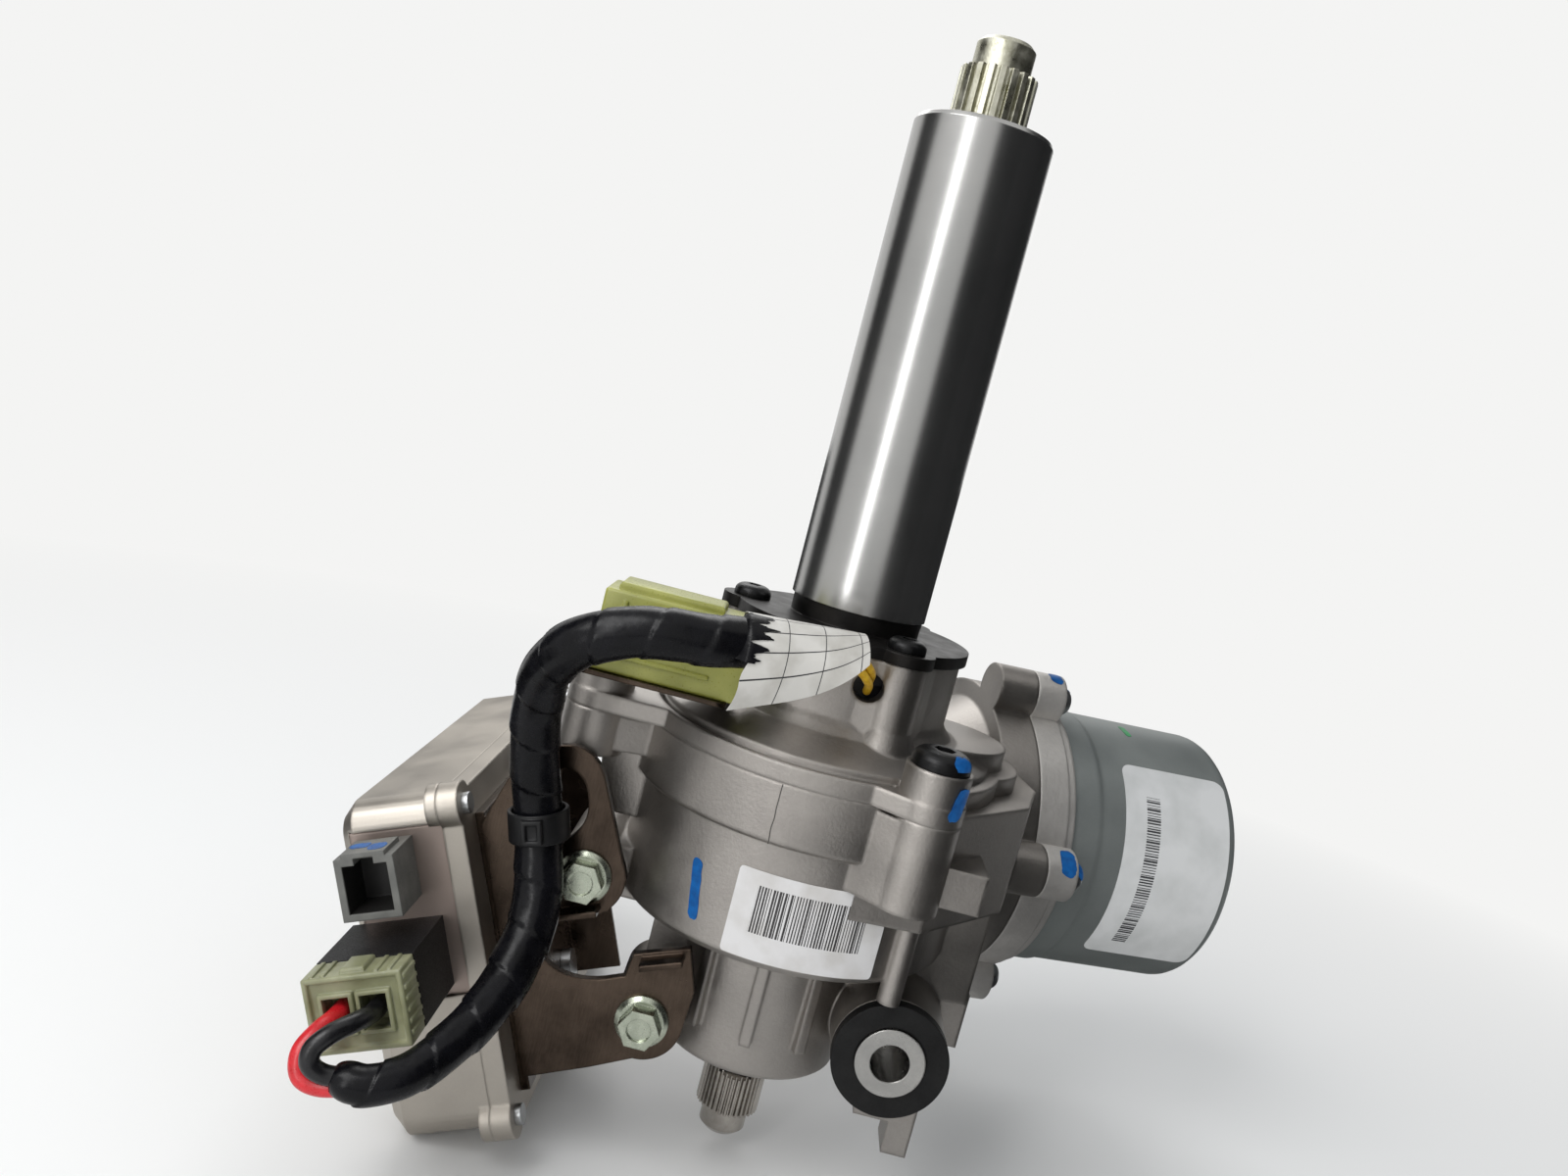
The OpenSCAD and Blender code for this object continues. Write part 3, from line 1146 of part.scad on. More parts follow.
module input_shaft() color("#b9b08a") difference() {
    union() {
        rotate_extrude() polygon([[0, pilot_low], [pilot_r - 0.5, pilot_low], [pilot_r, pilot_low + 0.5],
            [pilot_r, stop_top - stop_h], [input_r, stop_top - stop_h], [input_r, spline_low + 0.5],
            [tip_r, spline_low + 0.5], [tip_r, tip_top - 1.2], [tip_r - 1.2, tip_top], [0, tip_top]]);
        translate([0, 0, spline_low]) linear_extrude(spline_top - spline_low)
            toothed(spline_teeth, spline_od / 2, spline_od / 2 - 1.3, 0.75);
        translate([0, 0, stop_top - stop_h]) linear_extrude(stop_h - 1) stop_bar(0);
    }
    translate([0, 0, pilot_low - past]) cylinder(r = input_bore_r, h = spline_low - pilot_low + past);
    translate([-input_r - past, 0, pin_z]) rotate([0, 90, 0])
        cylinder(r = pin_r + seat_gap / 2, h = 2 * input_r + 2 * past);
}

module torsion_bar() color("#5f6164") difference() {
    rotate_extrude() polygon([[0, torsion_low], [torsion_end_r, torsion_low],
        [torsion_end_r, torsion_low + torsion_end_h], [torsion_r, torsion_low + torsion_end_h + 2],
        [torsion_r, torsion_top - torsion_end_h - 2], [torsion_end_r, torsion_top - torsion_end_h],
        [torsion_end_r, torsion_top], [0, torsion_top]]);
    translate([-input_r, 0, pin_z]) rotate([0, 90, 0]) cylinder(r = pin_r + seat_gap / 2, h = 2 * input_r);
}

module torsion_pin() color("#8f9194") translate([-input_r + 0.4, 0, pin_z]) rotate([0, 90, 0])
    cylinder(r = pin_r, h = 2 * input_r - 0.8);

// A right-hand thread, with a space facing the wheel
module worm() color("#6f7174") on_worm() {
    twist = 360 * worm_len / worm_lead;
    translate([0, 0, -worm_len / 2]) rotate(-twist / 2) linear_extrude(worm_len, twist = -twist,
        slices = round(twist / 15), convexity = 10, $fn = 24) worm_outline();
    for (a = [0, 180]) rotate([a, 0, 0]) translate([0, 0, worm_len / 2 - past])
        cylinder(r = worm_neck_r, h = worm_bearing_at - worm_len / 2 + past);
    translate([0, 0, -worm_bearing_at - worm_bearing_t])
        cylinder(r = worm_bearing_ir, h = worm_bearing_t + past);
    translate([0, 0, worm_bearing_at - past])
        cylinder(r = worm_bearing_ir, h = coupling_at + coupling_t / 2 - worm_bearing_at);
}

module worm_outline() {
    thickness = PI * gear_module / 2 - backlash / 2;
    radii = [for (k = [0:4]) worm_root_r + k / 4 * (worm_tip_r - worm_root_r)];
    period = 360 / worm_starts;
    polygon([for (s = [0:worm_starts - 1]) let (mid = (s + 0.5) * period - 90) each concat(
        [for (r = radii) let (a = mid - thread_angle(r, thickness)) r * [cos(a), sin(a)]],
        [worm_tip_r * [cos(mid), sin(mid)]],
        [for (k = [4:-1:0]) let (r = radii[k], a = mid + thread_angle(r, thickness)) r * [cos(a), sin(a)]],
        [worm_root_r * [cos(mid + period / 2), sin(mid + period / 2)]])]);
}

module worm_coupling() color("#26262a") on_worm() translate([0, 0, coupling_at]) difference() {
    cylinder(r = coupling_r, h = coupling_t);
    translate([0, 0, -past]) cylinder(r = worm_bearing_ir + seat_gap / 2, h = coupling_t + 2 * past);
    ring(coupling_r + past, coupling_r - 2, coupling_t / 2 - 2, coupling_t / 2 + 2);
}

module motor_shaft() color("#87898c") on_worm() translate([0, 0, motor_shaft_at])
    cylinder(r = motor_bearing_ir, h = rear_bearing_at + motor_bearing_t - motor_shaft_at);

module rotor_core() color("#707275") on_worm() translate([0, 0, stator_at])
    ring(magnet_r - magnet_t, motor_bearing_ir + seat_gap / 2, 0, stator_len);

module rotor_magnets() color("#4b4d50") on_worm() translate([0, 0, stator_at]) difference() {
    ring(magnet_r, magnet_r - magnet_t + seat_gap / 2, 0, stator_len);
    for (i = [0:magnet_count - 1]) rotate(i * 360 / magnet_count)
        span([magnet_r - magnet_t - past, -0.8, -past], [magnet_r + past, 0.8, stator_len + past]);
}

column_tube();
tube_flange();
flange_screws();
tube_bush();
sensor_cover();
cover_screws();
gear_housing();
sensor_coil();
sensor_wires();
sensor_connector();
connector_bracket();
harness_flag();
harness_sleeve();
harness_clip();
red_lead();
black_lead();
power_plug();
power_socket();
signal_socket();
ecu_cover();
ecu_base();
ecu_board();
ecu_screws();
ecu_bracket();
bracket_bolts();
bracket_screws();
pivot_rubber();
pivot_collar();
motor_flange();
motor_screws();
motor_can();
stator_core();
stator_windings();
motor_bearing_outers();
worm_bearing_outers();
worm_plug();
output_bearing_outers();
output_seal();
output_shaft();
wheel_hub();
wheel_ring();
output_bearing_inners();
sensor_lower_ring();
input_shaft();
torsion_bar();
torsion_pin();
sensor_upper_ring();
worm();
worm_coupling();
worm_bearing_inners();
motor_shaft();
rotor_core();
rotor_magnets();
motor_bearing_inners();
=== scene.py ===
import math
import bpy
from mathutils import Matrix, Vector, noise


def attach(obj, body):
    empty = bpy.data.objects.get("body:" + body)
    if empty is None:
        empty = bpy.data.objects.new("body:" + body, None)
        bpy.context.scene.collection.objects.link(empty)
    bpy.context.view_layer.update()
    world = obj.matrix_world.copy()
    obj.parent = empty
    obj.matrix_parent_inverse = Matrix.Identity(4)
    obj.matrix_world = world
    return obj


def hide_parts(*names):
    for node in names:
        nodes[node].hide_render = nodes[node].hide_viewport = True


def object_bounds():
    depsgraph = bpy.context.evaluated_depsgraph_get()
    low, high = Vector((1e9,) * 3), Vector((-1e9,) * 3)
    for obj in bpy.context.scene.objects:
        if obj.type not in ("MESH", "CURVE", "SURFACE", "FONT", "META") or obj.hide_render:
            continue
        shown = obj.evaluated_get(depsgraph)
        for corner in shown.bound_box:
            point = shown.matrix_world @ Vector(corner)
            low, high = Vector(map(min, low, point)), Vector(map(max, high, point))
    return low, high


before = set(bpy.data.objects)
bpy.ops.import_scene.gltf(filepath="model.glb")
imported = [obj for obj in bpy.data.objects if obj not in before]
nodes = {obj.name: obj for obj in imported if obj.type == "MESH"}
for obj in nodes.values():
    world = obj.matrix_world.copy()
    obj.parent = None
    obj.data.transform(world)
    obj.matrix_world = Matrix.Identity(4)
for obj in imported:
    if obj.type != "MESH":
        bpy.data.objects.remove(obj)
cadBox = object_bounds()
scene = bpy.context.scene
mm = 0.001
print("frame:", len(nodes), "nodes")

# camera at the photo's angle: it stands in front of the pivot and leans to its left
cameraView = {"lens": 29.25, "elevation": 7.39, "roll": 14.48, "offset": (20.8, -4.82, -355.74)}


def makeCamera(view):
    tilt, roll = math.radians(view["elevation"]), math.radians(view["roll"])
    back = Vector((0, -math.cos(tilt), math.sin(tilt)))
    right = Vector((1, 0, 0))
    up = back.cross(right)
    right, up = right * math.cos(roll) + up * math.sin(roll), up * math.cos(roll) - right * math.sin(roll)
    x, y, z = view["offset"]
    data = bpy.data.cameras.new("camera")
    data.lens = view["lens"]
    data.sensor_width = 36
    data.clip_start = 0.01
    camera = bpy.data.objects.new("camera", data)
    scene.collection.objects.link(camera)
    axes = Matrix((right, up, back)).transposed().to_4x4()
    camera.matrix_world = Matrix.Translation(-(right * x + up * y + back * z) * mm) @ axes
    scene.camera = camera


makeCamera(cameraView)
scene.view_settings.view_transform = "Standard"
print("camera set")


def hexColour(code):
    rgb = [int(code[i:i + 2], 16) / 255 for i in (1, 3, 5)]
    return [c / 12.92 if c <= 0.04045 else ((c + 0.055) / 1.055) ** 2.4 for c in rgb] + [1]


# adds one shader node; an input goes by its name, or by its place as i0, i1 and so on, and takes a value,
# a socket, or a node for that node's first output
def addNode(tree, kind, settings=(), **inputs):
    node = tree.nodes.new("ShaderNode" + kind)
    for key, value in dict(settings).items():
        setattr(node, key, value)
    for key, value in inputs.items():
        byPlace = key[0] == "i" and key[1:].isdigit()
        socket = node.inputs[int(key[1:]) if byPlace else key.replace("_", " ")]
        if isinstance(value, bpy.types.Node):
            value = value.outputs[0]
        if isinstance(value, bpy.types.NodeSocket):
            tree.links.new(value, socket)
        else:
            socket.default_value = value
    return node


# pale studio: white floor that fades into the white surround, so no horizon shows
studio = {"floorSize": 6.0, "floorGap": 0.0005, "floorTint": "#efefee", "fadeFrom": 0.28, "fadeTo": 0.75,
          "surround": "#f4f4f3", "ambient": 0.5, "ambientTint": "#eef1f4"}


def makeStudio(plan):
    world = bpy.data.worlds.new("surround")
    world.use_nodes = True
    tree = world.node_tree
    tree.nodes.clear()
    path = addNode(tree, "LightPath").outputs
    seen = addNode(tree, "Math", {"operation": "MAXIMUM"}, i0=path["Is Camera Ray"],
                   i1=path["Is Transmission Ray"])
    seen = addNode(tree, "Math", {"operation": "MAXIMUM"}, i0=seen, i1=path["Is Glossy Ray"])
    ambient = addNode(tree, "Background", Color=hexColour(plan["ambientTint"]), Strength=plan["ambient"])
    shown = addNode(tree, "Background", Color=hexColour(plan["surround"]), Strength=1.0)
    mixed = addNode(tree, "MixShader", i0=seen, i1=ambient, i2=shown)
    addNode(tree, "OutputWorld", Surface=mixed)
    scene.world = world

    floorPaint = bpy.data.materials.new("matt white floor")
    floorPaint.use_nodes = True
    tree = floorPaint.node_tree
    tree.nodes.clear()
    place = addNode(tree, "TexCoord")
    reach = addNode(tree, "VectorMath", {"operation": "LENGTH"}, i0=place.outputs["Object"])
    fade = addNode(tree, "MapRange", i0=reach.outputs["Value"], i1=plan["fadeFrom"], i2=plan["fadeTo"])
    paint = addNode(tree, "BsdfDiffuse", Color=hexColour(plan["floorTint"]))
    glow = addNode(tree, "Emission", Color=hexColour(plan["surround"]), Strength=1.0)
    mixed = addNode(tree, "MixShader", i0=fade, i1=paint, i2=glow)
    addNode(tree, "OutputMaterial", Surface=mixed)
    bpy.ops.object.select_all(action="DESELECT")
    height = cadBox[0].z - plan["floorGap"]
    bpy.ops.mesh.primitive_plane_add(size=plan["floorSize"], location=(0, 0, height))
    floor = bpy.context.object
    floor.name = "floor"
    floor.data.materials.append(floorPaint)


makeStudio(studio)

# soft boxes round the unit, and dark cards that put the dark bands on the bright metal
lampTarget = Vector((0, 0, -0.05))
cardLook = {"colour": "#1c1d1f", "rough": 0.9}
lamps = {
    "key": {"at": (-0.55, -0.5, 0.7), "size": (0.6, 0.6), "watts": 6.2},
    "strip": {"at": (-0.42, -0.79, 0.16), "size": (0.13, 0.9), "watts": 2.3},
    "fill": {"at": (0.7, -0.7, 0.25), "size": (0.8, 0.8), "watts": 0.5},
    "rim": {"at": (-0.25, 0.7, 0.75), "size": (0.6, 0.6), "watts": 3.6},
}
cards = {
    "rightCard": {"at": (0.40, -0.44, 0.1), "size": (0.5, 1.1)},
    "sideCard": {"at": (0.6, -0.06, 0.1), "size": (0.55, 0.85)},
    "rearCard": {"at": (0.5, 0.36, 0.1), "size": (0.55, 1.1)},
    "topCard": {"at": (0.5, 0.42, 0.62), "size": (0.7, 0.6)},
    "backCard": {"at": (0.0, 0.55, -0.12), "size": (0.9, 0.3)},
    "leftCard": {"at": (-0.6, 0.12, 0.05), "size": (0.4, 0.9)},
    "frontCard": {"at": (0.02, -0.85, -0.25), "size": (1.0, 0.3)},
    "floorCardRight": {"at": (0.39, -0.2, -0.1635), "size": (0.6, 0.7), "flat": True},
    "floorCardLeft": {"at": (-0.42, 0.02, -0.1635), "size": (0.4, 0.4), "flat": True},
}


def makeLights(lampList, cardList):
    for name, lamp in lampList.items():
        data = bpy.data.lights.new(name, "AREA")
        data.shape = "RECTANGLE"
        data.size, data.size_y = lamp["size"]
        data.energy = lamp["watts"]
        light = bpy.data.objects.new(name, data)
        scene.collection.objects.link(light)
        light.location = lamp["at"]
        light.rotation_euler = (lampTarget - light.location).to_track_quat("-Z", "Y").to_euler()
    black = bpy.data.materials.new("black card")
    black.use_nodes = True
    shader = black.node_tree.nodes["Principled BSDF"]
    shader.inputs["Base Color"].default_value = hexColour(cardLook["colour"])
    shader.inputs["Roughness"].default_value = cardLook["rough"]
    for name, card in cardList.items():
        bpy.ops.object.select_all(action="DESELECT")
        bpy.ops.mesh.primitive_plane_add(size=1, location=card["at"])
        obj = bpy.context.object
        obj.name = name
        obj.scale = (*card["size"], 1)
        if not card.get("flat"):
            obj.rotation_euler = (lampTarget - obj.location).to_track_quat("Z", "Y").to_euler()
        obj.data.materials.append(black)
        obj.visible_camera = obj.visible_shadow = obj.visible_diffuse = False


makeLights(lamps, cards)
print("studio lit")


def newMaterial(name):
    material = bpy.data.materials.new(name)
    material.use_nodes = True
    tree = material.node_tree
    tree.nodes.clear()
    shader = addNode(tree, "BsdfPrincipled")
    addNode(tree, "OutputMaterial", Surface=shader)
    place = addNode(tree, "TexCoord")
    return material, tree, shader, place.outputs["Object"]


def setShader(shader, **values):
    for key, value in values.items():
        shader.inputs[key.replace("_", " ")].default_value = value


# 1 inside a box of the given low and high corners, else 0
def insideBox(tree, vector, low, high):
    part = addNode(tree, "SeparateXYZ", Vector=vector).outputs
    mask = None
    for axis, bottom, top in zip("XYZ", low, high):
        for operation, limit in (("GREATER_THAN", bottom), ("LESS_THAN", top)):
            test = addNode(tree, "Math", {"operation": operation}, i0=part[axis], i1=limit)
            if mask is not None:
                test = addNode(tree, "Math", {"operation": "MULTIPLY"}, i0=mask, i1=test)
            mask = test
    return mask


# the control unit leans: its own axes stand here, in millimetres and degrees
unitAxes = {"at": (-86.6, 0, -116.8), "lean": -22}


# paints boxes of the control unit, given in the unit's own axes in millimetres
def patchColour(tree, place, colour, patches):
    for patch in patches:
        unit = addNode(tree, "Mapping", {"vector_type": "TEXTURE"}, Vector=place,
                       Location=[c * mm for c in unitAxes["at"]],
                       Rotation=(0, math.radians(unitAxes["lean"]), 0))
        low, high = ([c * mm for c in patch[corner]] for corner in ("low", "high"))
        mask = insideBox(tree, unit, low, high)
        colour = addNode(tree, "Mix", {"data_type": "RGBA"}, i0=mask, i6=colour,
                         i7=hexColour(patch["colour"])).outputs[2]
    return colour


# how many repeats a pattern of the given size in millimetres has in a metre; a grain that is too fine to show
# in the render is given larger than it really is
def perMetre(size):
    return 1 / (size * mm)


noiseBand = (0.3, 0.7)  # nearly all of a noise lies between these
soilBand = (0.42, 0.8)  # only the upper part of a noise shows as soil on paper
skinDepth = {"metal": 0.15, "plastic": 0.1, "paper": 0.05}  # millimetres


# what every finish ends with: colour, a roughness that follows one pattern and a skin that follows another
def dressShader(tree, shader, colour, rough, roughBy, **skin):
    roughness = addNode(tree, "MapRange", i0=roughBy, i1=noiseBand[0], i2=noiseBand[1], i3=rough[0],
                        i4=rough[1])
    bump = addNode(tree, "Bump", **skin)
    tree.links.new(colour, shader.inputs["Base Color"])
    tree.links.new(roughness.outputs[0], shader.inputs["Roughness"])
    tree.links.new(bump.outputs[0], shader.inputs["Normal"])


# one recipe for metals: broad tone drift, fine grain for the bump, and softened edges
def metalMaterial(name, look):
    material, tree, shader, place = newMaterial(name)
    grainPlace = addNode(tree, "Mapping", Vector=place, Scale=look.get("stretch", (1, 1, 1)))
    drift = addNode(tree, "TexNoise", Vector=place, Scale=perMetre(look["driftMm"]), Detail=4, Roughness=0.6)
    grain = addNode(tree, "TexNoise", Vector=grainPlace, Scale=perMetre(look["grainMm"]), Detail=3,
                    Roughness=0.65)
    grainTone = look.get("grainTone", 0.3)
    both = addNode(tree, "Math", {"operation": "MULTIPLY_ADD"}, i0=grain, i1=grainTone, i2=drift)
    tone = addNode(tree, "MapRange", i0=both, i1=0.3, i2=0.8 + grainTone)
    colour = addNode(tree, "Mix", {"data_type": "RGBA"}, i0=tone, i6=hexColour(look["dark"]),
                     i7=hexColour(look["light"])).outputs[2]
    colour = patchColour(tree, place, colour, look.get("patches", []))
    soft = addNode(tree, "Bevel", {"samples": 4}, Radius=look["edgeMm"] * mm)
    dressShader(tree, shader, colour, look["rough"], drift, Strength=look["bump"],
                Distance=look.get("bumpMm", skinDepth["metal"]) * mm, Height=grain, Normal=soft)
    setShader(shader, Metallic=look.get("metallic", 1.0), Anisotropic=look.get("anisotropic", 0.0))
    return material


# moulded plastic and rubber: faint flow marks, a fine spark-eroded grain and soft edges
def plasticMaterial(name, look):
    material, tree, shader, place = newMaterial(name)
    drift = addNode(tree, "TexNoise", Vector=place, Scale=perMetre(look["driftMm"]), Detail=3)
    grain = addNode(tree, "TexNoise", Vector=place, Scale=perMetre(look["grainMm"]), Detail=2)
    tone = addNode(tree, "MapRange", i0=drift, i1=noiseBand[0], i2=noiseBand[1])
    colour = addNode(tree, "Mix", {"data_type": "RGBA"}, i0=tone, i6=hexColour(look["dark"]),
                     i7=hexColour(look["light"])).outputs[2]
    colour = patchColour(tree, place, colour, look.get("patches", []))
    soft = addNode(tree, "Bevel", {"samples": 4}, Radius=look["edgeMm"] * mm)
    dressShader(tree, shader, colour, look["rough"], grain, Strength=look["bump"],
                Distance=skinDepth["plastic"] * mm, Height=grain, Normal=soft)
    setShader(shader, IOR=look.get("ior", 1.5), Transmission_Weight=look.get("clear", 0.0),
              Subsurface_Weight=look.get("glow", 0.0), Subsurface_Radius=(0.004, 0.004, 0.002),
              Specular_IOR_Level=look.get("gloss", 0.5))
    return material


metalLooks = {
    # centreless-ground steel tube: fine rings round it, a hard bright band where the light falls
    "ground steel": {
        "dark": "#a0a09f", "light": "#b3b2b0", "driftMm": 60, "grainMm": 0.6, "stretch": (0.03, 0.03, 1),
        "rough": (0.2, 0.24), "bump": 0.12, "bumpMm": 0.05, "edgeMm": 0.3, "grainTone": 0.15,
        "anisotropic": 0.4},
    # black-oxided stamped plate: near black, with the patchy gleam of an oily film
    "black oxide plate": {
        "dark": "#0d0d0d", "light": "#262321", "driftMm": 8, "grainMm": 0.5, "rough": (0.3, 0.5),
        "bump": 0.2, "edgeMm": 0.6, "metallic": 0.7},
    # black-oxided screws: near black, soft highlights on the rolled edges
    "black oxide screw": {
        "dark": "#0d0d0e", "light": "#242425", "driftMm": 5, "grainMm": 0.3, "rough": (0.28, 0.45),
        "bump": 0.1, "edgeMm": 0.5, "metallic": 0.7},
    # die-cast aluminium, shot blasted: satin grey with a fine pebbled skin
    "cast aluminium": {
        "dark": "#8b8783", "light": "#b3aea9", "driftMm": 22, "grainMm": 0.9, "rough": (0.36, 0.5),
        "bump": 0.5, "bumpMm": 0.16, "edgeMm": 1.4, "grainTone": 0.25},
    # the motor's flange has the coarser skin of a plainer mould
    "coarse cast aluminium": {
        "dark": "#b8b5b1", "light": "#dcd9d5", "driftMm": 15, "grainMm": 1.4, "rough": (0.46, 0.6),
        "bump": 0.6, "bumpMm": 0.2, "edgeMm": 1.2, "grainTone": 0.3, "metallic": 0.8},
    # zinc-plated drawn steel can: grey-green, half dulled, with a soft drift
    "zinc plated can": {
        "dark": "#7b807f", "light": "#939896", "driftMm": 30, "grainMm": 0.7, "rough": (0.4, 0.5),
        "bump": 0.08, "edgeMm": 2.2, "grainTone": 0.2, "metallic": 0.5},
    # bright zinc on small screws: cold grey with lively highlights
    "bright zinc": {
        "dark": "#9a9c9e", "light": "#c7c9ca", "driftMm": 4, "grainMm": 0.4, "rough": (0.25, 0.4),
        "bump": 0.12, "edgeMm": 0.4},
    # yellow-passivated zinc on the flange bolts: straw to pale green in the light
    "yellow zinc": {
        "dark": "#92998a", "light": "#ccd1c0", "driftMm": 3, "grainMm": 0.4, "rough": (0.18, 0.34),
        "bump": 0.1, "edgeMm": 0.5},
    # cold-rolled sheet of the brackets: a brown, mirror-like skin with dark drifts
    "bright sheet steel": {
        "dark": "#241e1a", "light": "#685a4f", "driftMm": 18, "grainMm": 0.5, "stretch": (1, 1, 0.1),
        "rough": (0.16, 0.34), "bump": 0.1, "edgeMm": 0.8},
    # die-cast control unit: paler and smoother than the gear case
    "pale die casting": {
        "dark": "#a59f97", "light": "#bab4ab", "driftMm": 25, "grainMm": 0.7, "rough": (0.38, 0.55),
        "bump": 0.14, "edgeMm": 1.0, "grainTone": 0.2},
    # turned steel: fine rings and a clean face
    "turned steel": {
        "dark": "#908f8d", "light": "#c2c0bc", "driftMm": 10, "grainMm": 0.5, "rough": (0.2, 0.32),
        "bump": 0.15, "edgeMm": 0.5},
    # rolled serrations on a bright drawn shaft: hard glints between dark flanks
    "bright drawn steel": {
        "dark": "#8a857f", "light": "#cbc6bf", "driftMm": 7, "grainMm": 0.4, "rough": (0.12, 0.22),
        "bump": 0.04, "edgeMm": 0.25, "grainTone": 0.15},
    # splined steel under old grease: yellowish smears over bright crests
    "greased steel": {
        "dark": "#8c8a6c", "light": "#d3d2c9", "driftMm": 4, "grainMm": 0.8, "rough": (0.2, 0.5),
        "bump": 0.3, "edgeMm": 0.4, "grainTone": 0.5},
    # ground bearing rings: clean and nearly mirror-bright
    "bearing steel": {
        "dark": "#a2a4a7", "light": "#cfd1d3", "driftMm": 6, "grainMm": 0.4, "rough": (0.12, 0.22),
        "bump": 0.05, "edgeMm": 0.4},
    # sintered sensor rings: open grey-brown grain
    "sintered iron": {
        "dark": "#5f5a51", "light": "#8d877b", "driftMm": 5, "grainMm": 0.4, "rough": (0.45, 0.6),
        "bump": 0.4, "edgeMm": 0.3, "metallic": 0.8},
    # stacked sheet iron: thin leaves along the motor's axis
    "stacked iron leaves": {
        "dark": "#4e5053", "light": "#85888b", "driftMm": 6, "grainMm": 0.6, "stretch": (1, 0.1, 0.1),
        "rough": (0.4, 0.55), "bump": 0.4, "edgeMm": 0.2},
    # enamelled copper wire: warm brown with fine runs of light
    "enamelled copper": {
        "dark": "#7e3c1a", "light": "#c26f36", "driftMm": 4, "grainMm": 0.8, "stretch": (0.2, 0.2, 1),
        "rough": (0.25, 0.4), "bump": 0.5, "edgeMm": 0.6},
    # sintered magnet: dark, with the dull gleam of nickel
    "sintered magnet": {
        "dark": "#3a3b3e", "light": "#66686c", "driftMm": 5, "grainMm": 0.4, "rough": (0.4, 0.55),
        "bump": 0.2, "edgeMm": 0.3, "metallic": 0.7},
}
# the unit's base: the same casting, with the brownish header panel that carries the sockets
metalLooks["pale die casting with panel"] = dict(metalLooks["pale die casting"], patches=[
    {"low": (-15, -41, -9), "high": (10.9, -36, 41), "colour": "#988b84"}])

plasticLooks = {
    # grey glass-filled polyester of the signal socket: a dull mid grey, with painted shade near black down in
    # its well
    "grey polyester": {
        "dark": "#565754", "light": "#6c6c68", "driftMm": 6, "grainMm": 0.4, "rough": (0.4, 0.55),
        "bump": 0.15, "edgeMm": 0.5,
        # painted shade: a near-black box down in the socket's well
        "patches": [{"low": (-10.9, -53.5, 22.6), "high": (0.9, -38, 35.4), "colour": "#161514"}]},
    # black glass-filled nylon of the power socket and the band clip: dull, with a faint grain
    "black nylon": {
        "dark": "#080809", "light": "#121214", "driftMm": 5, "grainMm": 0.4, "rough": (0.38, 0.55),
        "bump": 0.2, "edgeMm": 0.5, "gloss": 0.3},
    # unfilled nylon of the plugs: milky yellow-green, light glows a little way in
    "natural nylon": {
        "dark": "#7f8160", "light": "#9fa080", "driftMm": 7, "grainMm": 0.5, "rough": (0.28, 0.4),
        "bump": 0.1, "edgeMm": 0.5, "glow": 0.35, "clear": 0.12, "ior": 1.53},
    # the same nylon, fresher in colour, of the connector up at the sensor
    "pale nylon": {
        "dark": "#8b8d3c", "light": "#a6a754", "driftMm": 9, "grainMm": 0.5, "rough": (0.26, 0.38),
        "bump": 0.08, "edgeMm": 0.5, "glow": 0.35, "clear": 0.1, "ior": 1.53},
    # vinyl tape, wound tight: black with a cold sheen
    "vinyl tape": {
        "dark": "#060608", "light": "#0f0f13", "driftMm": 9, "grainMm": 1.6, "rough": (0.2, 0.34),
        "bump": 0.35, "edgeMm": 0.2, "gloss": 0.17},
    # PVC insulation in black, red and yellow: even colour and a soft gloss
    "black vinyl": {
        "dark": "#0c0c0e", "light": "#1a1a1d", "driftMm": 4, "grainMm": 0.5, "rough": (0.26, 0.38),
        "bump": 0.1, "edgeMm": 0.3, "gloss": 0.4},
    "red vinyl": {
        "dark": "#b4141c", "light": "#d42831", "driftMm": 4, "grainMm": 0.5, "rough": (0.25, 0.38),
        "bump": 0.1, "edgeMm": 0.3},
    "yellow vinyl": {
        "dark": "#b98a12", "light": "#e0b62c", "driftMm": 3, "grainMm": 0.4, "rough": (0.28, 0.4),
        "bump": 0.1, "edgeMm": 0.2},
    # moulded rubber: black, dry, fine bloom
    "moulded rubber": {
        "dark": "#0a0a0b", "light": "#161616", "driftMm": 6, "grainMm": 0.5, "rough": (0.45, 0.62),
        "bump": 0.25, "edgeMm": 0.7, "gloss": 0.25},
    # machined cast nylon of the wheel and the bush: creamy and waxy
    "cast nylon": {
        "dark": "#cfc6a9", "light": "#e6dfc8", "driftMm": 8, "grainMm": 0.5, "rough": (0.35, 0.5),
        "bump": 0.2, "edgeMm": 0.3},
    # filled resin of coil former and coupling: a dull charcoal
    "dark resin": {
        "dark": "#252527", "light": "#3b3b3e", "driftMm": 5, "grainMm": 0.4, "rough": (0.4, 0.55),
        "bump": 0.2, "edgeMm": 0.4},
    # marking paint, brushed on thin: strong colour with brush ridges
    "blue paint": {
        "dark": "#024480", "light": "#065ca2", "driftMm": 2, "grainMm": 0.5, "rough": (0.32, 0.5),
        "bump": 0.3, "edgeMm": 0.1, "gloss": 0.25},
    "green paint": {
        "dark": "#1d7a45", "light": "#2f9a5c", "driftMm": 2, "grainMm": 0.5, "rough": (0.32, 0.5),
        "bump": 0.3, "edgeMm": 0.1},
    # a scriber's scratch: a thin dark line
    "dark scribe": {
        "dark": "#2c2a28", "light": "#4a4744", "driftMm": 2, "grainMm": 0.4, "rough": (0.5, 0.65),
        "bump": 0.2, "edgeMm": 0.05},
    # coated circuit board: dark green under a glossy film
    "coated board": {
        "dark": "#1f4a2c", "light": "#2f6b41", "driftMm": 5, "grainMm": 0.8, "rough": (0.25, 0.4),
        "bump": 0.3, "edgeMm": 0.2},
}


